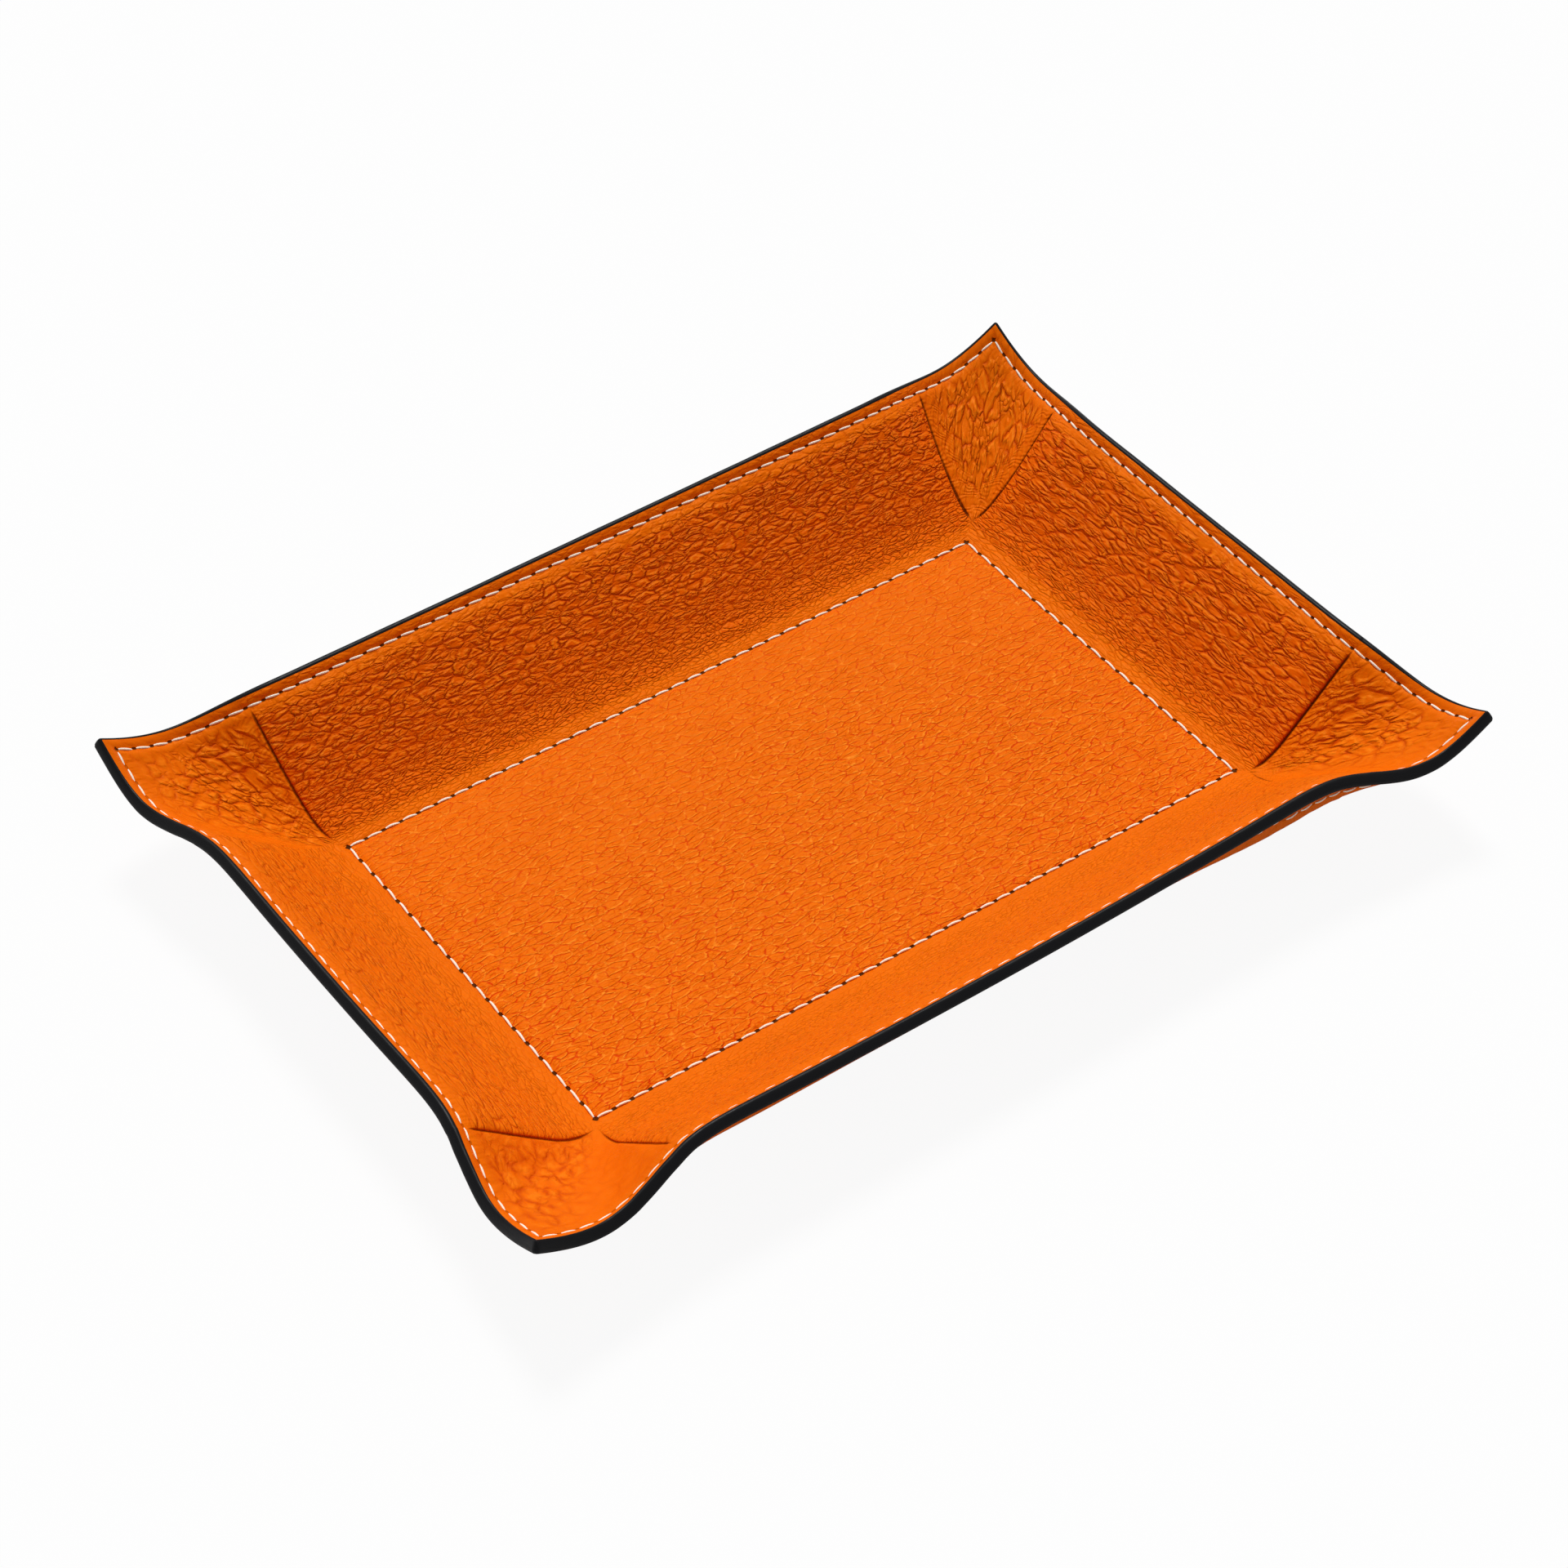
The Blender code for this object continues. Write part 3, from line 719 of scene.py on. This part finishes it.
def make_stitches(name, node_name, holes, height_at, side, crown, material, seed):
    """One short float of thread from each hole to the next.

    Along a float the thread climbs out of one hole and dips into the next: its height is the crown times a
    power of sin. It slants a little across the seam, and its ends taper. side is 1 on the inner face and -1
    on the outside, and crown is one height or one for each float.
    """
    random = np.random.default_rng(seed)
    loose = random.uniform(0.86, 1.14, (len(holes), 1))
    x = np.array(FLOAT_PLACES) + random.uniform(-0.012, 0.012, (len(holes), 1))
    run = np.roll(holes, -1, axis=0) - holes
    square = unit(np.stack([-run[:, 1], run[:, 0]], axis=-1))
    slant = FLOAT_SLANT * np.cos(math.pi * x) * loose
    place = holes[:, None] + run[:, None] * x[..., None] + square[:, None] * slant[..., None]
    u, v = place[..., 0], place[..., 1]
    hump = np.sin(math.pi * share(x * 1.02 - 0.01))
    crown = np.broadcast_to(crown, len(holes))[:, None]
    lift = (crown + FLOAT_BURIED) * hump**0.6 * loose - FLOAT_BURIED
    middle = set_at(u, v, height_at(u, v) + side * lift)
    heading = unit(np.gradient(middle, axis=1))
    beside = unit(np.cross(heading, tray_normal(u, v) * side))
    upright = np.cross(beside, heading) * THREAD_FLATTEN
    turn = 2 * math.pi * (np.arange(THREAD_SIDES) + 0.5) / THREAD_SIDES
    around = beside[:, :, None] * np.cos(turn)[:, None] + upright[:, :, None] * np.sin(turn)[:, None]
    radius = THREAD / 2 * (THREAD_END + (1 - THREAD_END) * hump**0.7)
    points = middle[:, :, None] + around * radius[..., None, None]
    index = np.arange(points[..., 0].size).reshape(points.shape[:3])
    wrapped = np.concatenate([index, index[:, :, :1]], axis=2)
    caps = np.concatenate([index[:, 0, ::-1], index[:, -1]])
    faces = grid_faces(wrapped, True).tolist() + caps.tolist()
    piece = new_piece(name, points, faces, material, node_name, 70)
    along = np.linalg.norm(run, axis=1)[:, None] * x / MM
    tint = random.uniform(0, 1, (len(holes), 1, 1))
    add_attribute(piece, "thread_place", along[..., None], turn / (2 * math.pi), tint)


# Materials

ORIGIN, HALF, WHITE = (0.0, 0.0, 0.0), (0.5, 0.5, 0.5), (1.0, 1.0, 1.0)

# Tones painted on the leather as light and shade: painted shade that makes the back and right walls redder
# where the key light grazes them, painted shade in the base's grooves and a painted highlight on its dashes,
# and painted shade in the creases and in the needle holes
WALL_SHADE_TONE = (0.80, 0.07, 0.0005)
GROOVE_SHADE_TONE = (0.72, 0.036, 0.0002)
DASH_HIGHLIGHT_TONE = (1.0, 0.26, 0.015)
CREASE_SHADE_TONE = (0.10, 0.012, 0.001)
HOLE_SHADE_TONE = (0.070, 0.012, 0.003)

LARGE_PLATES, SMALL_PLATES = 0.66, 1.35
LARGE_LEAN, SMALL_LEAN = 1.6, 1.1
LEATHER_SHINE = 0.11


class Level:
    """A socket of a node tree, which the signs of arithmetic join to numbers and to other levels."""

    def __init__(self, wiring, socket):
        self.wiring, self.socket = wiring, socket

    def __add__(self, other):
        return self.wiring.math("ADD", self, other)

    def __sub__(self, other):
        return self.wiring.math("SUBTRACT", self, other)

    def __rsub__(self, other):
        return self.wiring.math("SUBTRACT", other, self)

    def __mul__(self, other):
        return self.wiring.math("MULTIPLY", self, other)

    def __truediv__(self, other):
        return self.wiring.math("DIVIDE", self, other)

    def __abs__(self):
        return self.wiring.math("ABSOLUTE", self)


class Wiring:
    """Short calls for adding nodes to one tree. An input takes a level, a socket, a number or a tuple."""

    def __init__(self, tree):
        self.tree = tree

    def node(self, kind, inputs=None, **settings):
        added = self.tree.nodes.new("ShaderNode" + kind)
        for name, value in settings.items():
            setattr(added, name, value)
        self.feed(added.inputs, inputs or {})
        return added

    def level(self, kind, inputs, output=0, **settings):
        return Level(self, self.node(kind, inputs, **settings).outputs[output])

    def feed(self, sockets, inputs):
        """Links levels and sockets, and sets numbers and tuples, with full cover added to a colour."""
        for key, value in inputs.items():
            value = getattr(value, "socket", value)
            if isinstance(value, bpy.types.NodeSocket):
                self.tree.links.new(value, sockets[key])
            else:
                sockets[key].default_value = (*value, 1.0) if sockets[key].type == "RGBA" else value

    def math(self, operation, *values, clamp=False):
        return self.level("Math", dict(enumerate(values)), operation=operation, use_clamp=clamp)

    def vector(self, operation, *values):
        output = "Value" if operation == "DOT_PRODUCT" else "Vector"
        return self.level("VectorMath", dict(enumerate(values)), output, operation=operation)

    def larger(self, first, second):
        return self.math("MAXIMUM", first, second)

    def ramp(self, value, low, high, to_low=0.0, to_high=1.0):
        """An eased change from to_low to to_high as the value goes from low to high."""
        levels = {"Value": value, "From Min": low, "From Max": high, "To Min": to_low, "To Max": to_high}
        return self.level("MapRange", levels, "Result", interpolation_type="SMOOTHSTEP")

    def fade(self, value, low, high, to_high=0.0):
        return self.ramp(value, low, high, 1.0, to_high)

    def colour(self, amount, first, second):
        return self.level("Mix", {"Factor": amount, 6: first, 7: second}, 2, data_type="RGBA")

    def attribute(self, name, output="Vector"):
        return self.level("Attribute", {}, output, attribute_name=name)

    def parts(self, vector):
        split = self.node("SeparateXYZ", {"Vector": vector}).outputs
        return [Level(self, split[axis]) for axis in "XYZ"]

    def noise(self, place, scale, detail=1.0, output="Fac"):
        return self.level("TexNoise", {"Vector": place, "Scale": scale, "Detail": detail}, output)

    def cells(self, place, scale, feature):
        inputs = {"Vector": place, "Scale": scale}
        return self.node("TexVoronoi", inputs, feature=feature, voronoi_dimensions="2D").outputs

    def group(self, tree_name, inputs):
        added = self.node("Group", inputs, node_tree=bpy.data.node_groups[tree_name])
        return {socket.name: Level(self, socket) for socket in added.outputs}


def new_group(name, inputs, outputs):
    """A shader node group with named sockets. An input whose default is a tuple takes a vector."""
    tree = bpy.data.node_groups.new(name, "ShaderNodeTree")
    for label, default in inputs.items():
        kind = "NodeSocketVector" if isinstance(default, tuple) else "NodeSocketFloat"
        tree.interface.new_socket(name=label, in_out="INPUT", socket_type=kind).default_value = default
    for label in outputs:
        tree.interface.new_socket(name=label, in_out="OUTPUT", socket_type="NodeSocketFloat")
    wiring, given = Wiring(tree), tree.nodes.new("NodeGroupInput").outputs
    result = tree.nodes.new("NodeGroupOutput").inputs
    return wiring, {socket.name: Level(wiring, socket) for socket in given}, result


def make_pebble_group():
    """Pebbled grain: low plates of two sizes between soft grooves, each leaning its own way, and pores.

    Place is counted in pebbles. Broad noise bends the rows of plates and fine noise frays their outlines. A
    plate climbs from its edge as 2 x minus x squared, and leans by a random slope times the distance from its
    middle. Noise makes some edges faint, and smaller plates take over as Fineness goes to one. Crest is the
    upper part of a shoulder, Hollow the bottom of a groove, and Dash a short raised line behind a groove.
    """
    inputs = {"Place": ORIGIN, "Shoulder": 0.3, "Fineness": 0.5}
    wiring, given, result = new_group("pebbled_grain", inputs, ("Height", "Hollow", "Crest", "Dash"))
    place = given["Place"]
    for scale, reach in ((0.30, 1.8), (1.4, 0.5)):
        shift = wiring.vector("SUBTRACT", wiring.noise(given["Place"], scale, output="Color"), HALF)
        place = wiring.vector("MULTIPLY_ADD", shift, (reach, reach, 0.0), place)

    def plates(scale, lean):
        edge = wiring.cells(place, scale, "DISTANCE_TO_EDGE")["Distance"]
        climb = wiring.math("DIVIDE", edge, given["Shoulder"], clamp=True)
        middle = wiring.cells(place, scale, "F1")
        off = wiring.vector("SUBTRACT", place, middle["Position"])
        off = wiring.vector("MULTIPLY", off, (scale, scale, 0.0))
        slope = wiring.vector("SUBTRACT", middle["Color"], HALF)
        leaning = wiring.vector("DOT_PRODUCT", off, slope) * lean + 1.0
        crest = wiring.ramp(climb, 0.25, 0.6) * wiring.fade(climb, 0.6, 1.0)
        return climb * (2.0 - climb) * leaning, crest, wiring.fade(climb, 0.0, 0.35)

    large, small = plates(LARGE_PLATES, LARGE_LEAN), plates(SMALL_PLATES, SMALL_LEAN)
    deep = wiring.ramp(wiring.noise(given["Place"], 0.8), 0.36, 0.58, 0.25, 1.0)
    broken = wiring.ramp(wiring.noise(place, 0.5), 0.40, 0.60, 0.0, 0.45)
    fine = wiring.larger(broken, given["Fineness"] * 0.6)
    coarse = deep * (1.0 - given["Fineness"] * 0.5)
    pores = wiring.noise(given["Place"], 4.0) * 0.12
    crest = wiring.larger(large[1] * coarse, small[1] * fine)
    hollow = wiring.larger(large[2] * coarse, small[2] * fine)
    behind = wiring.vector("ADD", place, (0.0, -0.30, 0.0))
    behind = wiring.cells(behind, LARGE_PLATES, "DISTANCE_TO_EDGE")["Distance"]
    apart = wiring.ramp(wiring.noise(place, 1.1), 0.45, 0.57)
    height = large[0] * coarse + (small[0] * fine + pores)
    dash = wiring.fade(behind, 0.02, 0.13) * apart * (1.0 - hollow)
    wiring.feed(result, {"Height": height, "Hollow": hollow, "Crest": crest, "Dash": dash})


def make_hole_group():
    """Needle holes along a seam round a rectangle: an ellipse at each multiple of the pitch on its sides."""
    sizes = {"Half length": 0.0, "Half width": 0.0, "Long pitch": 5.0, "Short pitch": 5.0}
    inputs = {"Place": ORIGIN, **sizes, "Hole length": 0.95, "Hole width": 0.46}
    wiring, given, result = new_group("needle_holes", inputs, ["Hole"])
    u, v, _ = wiring.parts(given["Place"])

    def side(along, half_along, across, half_across, pitch):
        phase = wiring.math("FRACT", (along + half_along) / pitch + 0.5) - 0.5
        near = phase * pitch / given["Hole length"]
        off = (abs(across) - half_across) / given["Hole width"]
        hole = wiring.fade(wiring.math("SQRT", near * near + off * off), 0.55, 1.15)
        return hole * wiring.math("LESS_THAN", abs(along) - half_along, 0.9)

    half_length, half_width = given["Half length"], given["Half width"]
    long_side = side(u, half_length, v, half_width, given["Long pitch"])
    short_side = side(v, half_width, u, half_length, given["Short pitch"])
    wiring.feed(result, {"Hole": wiring.larger(long_side, short_side)})


def make_crease_group():
    """A thin line in each crease's groove, thinner where the crease is weak, which the leather sinks into its
    relief and darkens as painted shade, and fine ripples beside it.
    """
    inputs = {"Place": ORIGIN, "Distance": ORIGIN, "Force": ORIGIN, "Line width": 0.55}
    wiring, given, result = new_group("corner_creases", inputs, ("Line", "Ripple"))
    u, v, _ = wiring.parts(given["Place"])
    from_long, from_short, _ = wiring.parts(given["Distance"])
    long_force, short_force, _ = wiring.parts(given["Force"])
    drift = wiring.noise(given["Place"], 0.22) * 5.0
    weaving = wiring.ramp(wiring.noise(given["Place"], 0.35), 0.35, 0.6, 0.25, 1.0)

    def one(distance, force, along):
        gap = abs(distance)
        reach = wiring.math("MINIMUM", force, 1.0) * given["Line width"] + 0.1
        line = wiring.fade(gap, 0.05, reach) * wiring.math("MINIMUM", force * 1.2, 1.0)
        wave = wiring.math("SINE", (abs(along) + drift + gap * gap * 0.14) * 4.4)
        near, side = wiring.fade(gap, 3.0, 8.0), wiring.fade(distance, -0.5, 1.5, 0.35)
        return line, wave * near * (force * side)

    long_line, long_ripple = one(from_long, long_force, v)
    short_line, short_ripple = one(from_short, short_force, u)
    ripple = (long_ripple + short_ripple) * weaving
    wiring.feed(result, {"Line": wiring.larger(long_line, short_line), "Ripple": ripple})


def new_material(name):
    material = bpy.data.materials.new(name)
    material.use_nodes = True
    return material, Wiring(material.node_tree), material.node_tree.nodes["Principled BSDF"]


def finish(wiring, shader, colour, roughness, relief, shine, strength=1.0, reach=MM):
    """Feeds the shader of a material. The relief is a height counted in reaches."""
    bump = wiring.node("Bump", {"Height": relief, "Strength": strength, "Distance": reach})
    inputs = {"Base Color": colour, "Roughness": roughness, "Specular IOR Level": shine}
    wiring.feed(shader.inputs, {**inputs, "Normal": bump.outputs["Normal"]})


def seam_of_holes(wiring, place, half_length, half_width, long_count, short_count, hole_length, hole_width):
    """The needle holes of one seam in the leather. The size of a hole is in millimetres."""
    inputs = {"Place": place, "Half length": half_length / MM, "Half width": half_width / MM}
    inputs["Long pitch"] = 2 * half_length / MM / long_count
    inputs["Short pitch"] = 2 * half_width / MM / short_count
    inputs.update({"Hole length": hole_length, "Hole width": hole_width})
    return wiring.group("needle_holes", inputs)["Hole"]


def leather_material(name, tone, patch_and_hollow_shade_tone, crest_highlight_tone, depth, hole_shade_share):
    """Orange pebbled leather: grain that follows the walls and fans in the corners, creases and needle holes.

    On the base the grooves are darkened as painted shade and the dashes lightened as a painted highlight, and
    the back and right walls, which the key light grazes, are made redder as painted shade. Painted shade also
    darkens the grain's hollows, the creases and the needle holes, and a painted highlight lightens the
    crests.
    """
    material, wiring, shader = new_material(name)
    place = wiring.attribute("flat_place")
    grain_share, fineness, shoulder = wiring.parts(wiring.attribute("grain_kind"))
    pebbles = {"Place": wiring.attribute("grain_place"), "Shoulder": shoulder, "Fineness": fineness}
    grain = wiring.group("pebbled_grain", pebbles)
    beside = {"Distance": wiring.attribute("crease_distance"), "Force": wiring.attribute("crease_force")}
    creases = wiring.group("corner_creases", {"Place": place, **beside})
    base_holes = seam_of_holes(wiring, place, *BASE_STITCHES, 0.95, 0.46)
    rim_holes = seam_of_holes(wiring, place, *RIM_STITCHES, 0.75, 0.38)
    holes = wiring.larger(base_holes, rim_holes) * wiring.attribute("hole_depth_and_shade", "Fac")
    long_gathers, short_gathers, _ = wiring.parts(wiring.attribute("rim_gathers"))
    along_long = wiring.noise(wiring.vector("MULTIPLY", place, (1.0, 0.12, 1.0)), 0.75)
    along_short = wiring.noise(wiring.vector("MULTIPLY", place, (0.12, 1.0, 1.0)), 0.75)
    gathers = along_long * long_gathers + along_short * short_gathers
    calm = wiring.noise(place, 1.6, 2.0)
    on_base = grain_share * wiring.ramp(shoulder, BASE_SHOULDER, BASE_SHOULDER + 0.01, 3.0, 0.0)
    dashes, base_grooves = grain["Dash"] * on_base, grain["Hollow"] * on_base
    relief = grain["Height"] * grain_share * depth + calm * 0.025 + dashes * 0.06 + gathers * 0.35
    relief = relief + creases["Ripple"] * 0.065 - creases["Line"] * 0.35 - holes * 0.45
    patches = wiring.ramp(wiring.noise(place, 0.05, 3.0), 0.3, 0.7)
    on_wall = wiring.ramp(shoulder, WALL_SHOULDER, WALL_SHOULDER + 0.03, 0.35, 0.0)
    grain_force = wiring.math("MINIMUM", grain_share, 1.0)
    colour = tone
    for amount, next_tone in (
        (patches * 0.08, patch_and_hollow_shade_tone),
        # Painted shade: the back and right walls, which the key light grazes, are made redder
        (on_wall * wiring.ramp(grain_share, 0.7, 1.0), WALL_SHADE_TONE),
        # Painted shade in the grain's hollows and a painted highlight on the plates' crests
        (grain["Hollow"] * (grain_force * 0.72), patch_and_hollow_shade_tone),
        (grain["Crest"] * (grain_force * 0.65), crest_highlight_tone),
        # Painted shade in the base's grooves and a painted highlight on the dashes behind them
        (base_grooves, GROOVE_SHADE_TONE),
        (dashes, DASH_HIGHLIGHT_TONE),
        # Painted shade in the creases
        (creases["Line"] * 0.9, CREASE_SHADE_TONE),
        # Painted shade in the needle holes
        (holes * hole_shade_share, HOLE_SHADE_TONE),
    ):
        colour = wiring.colour(amount, colour, next_tone)
    finish(wiring, shader, colour, wiring.ramp(calm, 0.3, 0.7, 0.40, 0.50), relief, LEATHER_SHINE)
    wiring.feed(shader.inputs, {"Specular Tint": (1.0, 0.55, 0.0)})
    return material


def paint_material():
    """Black edge paint: satin, with the faint waves and specks of a coat put on by hand."""
    material, wiring, shader = new_material("black_edge_paint")
    place = wiring.attribute("edge_place")
    waves = wiring.noise(wiring.vector("MULTIPLY", place, (0.25, 1.0, 1.0)), 1.1, 2.0)
    specks = wiring.noise(place, 6.0, 3.0)
    colour = wiring.colour(specks, (0.003, 0.003, 0.004), (0.007, 0.007, 0.008))
    roughness = wiring.ramp(waves, 0.3, 0.7, 0.34, 0.46)
    finish(wiring, shader, colour, roughness, waves * 0.06 + specks * 0.012, 0.11)
    return material


def thread_material():
    """Waxed off-white thread: three strands twisted round each other, with painted shade between them."""
    material, wiring, shader = new_material("off_white_thread")
    along, angle, tint = wiring.parts(wiring.attribute("thread_place"))
    strand = abs(wiring.math("SINE", (along * 1.15 + angle * 2.0) * math.pi))
    colour = wiring.colour(tint, (1.0, 0.95, 0.82), (0.98, 0.90, 0.74))
    # Painted shade between the strands
    colour = wiring.colour(wiring.fade(strand, 0.0, 0.55) * 0.12, colour, (0.75, 0.55, 0.32))
    finish(wiring, shader, colour, 0.55, strand, 0.35, 0.3, 0.1 * MM)
    return material


def board_material():
    """Grey-brown stiffening board: pressed fibres with lighter and darker flecks."""
    material, wiring, shader = new_material("stiffening_board")
    place = wiring.level("TexCoord", {}, "Object")
    fibres = wiring.noise(wiring.vector("MULTIPLY", place, (300.0, 1400.0, 1400.0)), 1.0, 5.0)
    flecks = wiring.ramp(wiring.noise(place, 900.0, 2.0), 0.62, 0.72)
    colour = wiring.colour(fibres, (0.26, 0.20, 0.13), (0.44, 0.35, 0.24))
    finish(wiring, shader, wiring.colour(flecks, colour, (0.16, 0.11, 0.07)), 0.9, fibres, 0.5, 0.5, 0.1 * MM)
    return material


# Stage, lights and camera


def make_floor():
    """A wide pale floor under the tray, which shows white to the camera and keeps a part of the shadow."""
    size, height = 6.0, solid_box[0][2] - 0.2 * MM
    mesh = bpy.data.meshes.new("floor")
    corners = [(x * size, y * size, height) for x, y in ((-1, -1), (1, -1), (1, 1), (-1, 1))]
    mesh.from_pydata(corners, [], [(0, 1, 2, 3)])
    material, wiring, shader = new_material("pale_floor")
    pale = (0.80, 0.80, 0.80)
    wiring.feed(shader.inputs, {"Base Color": pale, "Roughness": 0.9, "Specular IOR Level": 0.0})
    glow = wiring.node("Emission", {"Color": WHITE, "Strength": 1.0})
    seen = wiring.level("LightPath", {}, "Is Camera Ray") * 0.93
    mixed = wiring.node("MixShader", {0: seen, 1: shader.outputs[0], 2: glow.outputs[0]})
    output = material.node_tree.nodes["Material Output"]
    wiring.feed(output.inputs, {"Surface": mixed.outputs[0]})
    mesh.materials.append(material)
    add_object("floor", mesh)


def make_world(fill):
    """Weak even light all round, which shows white to the camera and pale grey in reflections."""
    world = bpy.data.worlds.new("studio")
    world.use_nodes = True
    bpy.context.scene.world = world
    wiring = Wiring(world.node_tree)
    background = world.node_tree.nodes["Background"].inputs
    path = wiring.node("LightPath").outputs
    seen = wiring.larger(path["Is Camera Ray"], path["Is Transmission Ray"])
    seen = wiring.larger(seen, wiring.math("MULTIPLY", path["Is Glossy Ray"], 0.5))
    wiring.feed(background, {"Color": WHITE, "Strength": seen * (1.0 - fill) + fill})


def add_sun(name, direction, strength, width):
    """A distant lamp that shines from a direction; width is how soft it is, in degrees."""
    light = bpy.data.lights.new(name, "SUN")
    light.energy = strength
    light.angle = math.radians(width)
    x, y, z = unit(np.array(direction))
    add_object(name, light).rotation_euler = (math.acos(z), 0.0, math.atan2(y, x) + math.pi / 2)


def make_camera():
    """The picture's view: from the front left, looking down at about 45 degrees."""
    camera = bpy.data.cameras.new("camera")
    camera.lens = 87.07
    camera.sensor_width = 36.0
    camera.clip_start = 0.05
    holder = add_object("camera", camera)
    holder.location = (-0.38478, -0.53720, 0.65711)
    holder.rotation_euler = [math.radians(angle) for angle in (45.713, 0.579, -35.947)]
    bpy.context.scene.camera = holder


# Making

make_pebble_group()
make_hole_group()
make_crease_group()
# Each skin's tones: its own orange, a deeper tone for random patches that also darkens the grain's hollows as
# painted shade, and a lighter tone painted as highlight on the plates' crests
inner_tones = (0.87, 0.152, 0.001), (0.50, 0.022, 0.0002), (1.0, 0.25, 0.008)
outer_tones = (0.78, 0.125, 0.001), (0.42, 0.028, 0.0002), (0.90, 0.18, 0.005)
inner_finish = leather_material("orange_leather", *inner_tones, 0.54, 1.0)
outer_finish = leather_material("orange_leather_outside", *outer_tones, 0.50, 0.5)
paint_finish, thread_finish, board_finish = paint_material(), thread_material(), board_material()

for board_name in ("base", "back_wall", "front_wall", "right_wall", "left_wall"):
    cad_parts[board_name + "_board"].material_slots[0].material = board_finish

pattern_u, pattern_v = make_skin("inner_leather", inner_finish, 1.0, inner_height, glued_height, True)
make_skin("outer_leather", outer_finish, OUTER_COARSER, outer_height, parting_height, False)
make_edge_paint(pattern_u, pattern_v, paint_finish)

base_holes_at, rim_holes_at = seam_holes(*BASE_STITCHES), seam_holes(*RIM_STITCHES)
rim_crowns = np.repeat(RIM_CROWNS, RIM_STITCHES[2:] * 2)
seams = (
    ("base_stitches_inside", "base_needle_thread", base_holes_at, inner_height, 1, BASE_CROWN),
    ("base_stitches_under", "base_bobbin_thread", base_holes_at, outer_height, -1, OUTSIDE_CROWN),
    ("rim_stitches_inside", "rim_needle_thread", rim_holes_at, inner_height, 1, rim_crowns),
    ("rim_stitches_outside", "rim_bobbin_thread", rim_holes_at, outer_height, -1, OUTSIDE_CROWN),
)
for seed, seam in enumerate(seams, 1):
    make_stitches(*seam, thread_finish, seed)

make_floor()
make_world(0.25)
add_sun("key_light", (0.25, 0.42, 0.87), 2.72, 16)
make_camera()
bpy.context.scene.view_settings.view_transform = "Standard"
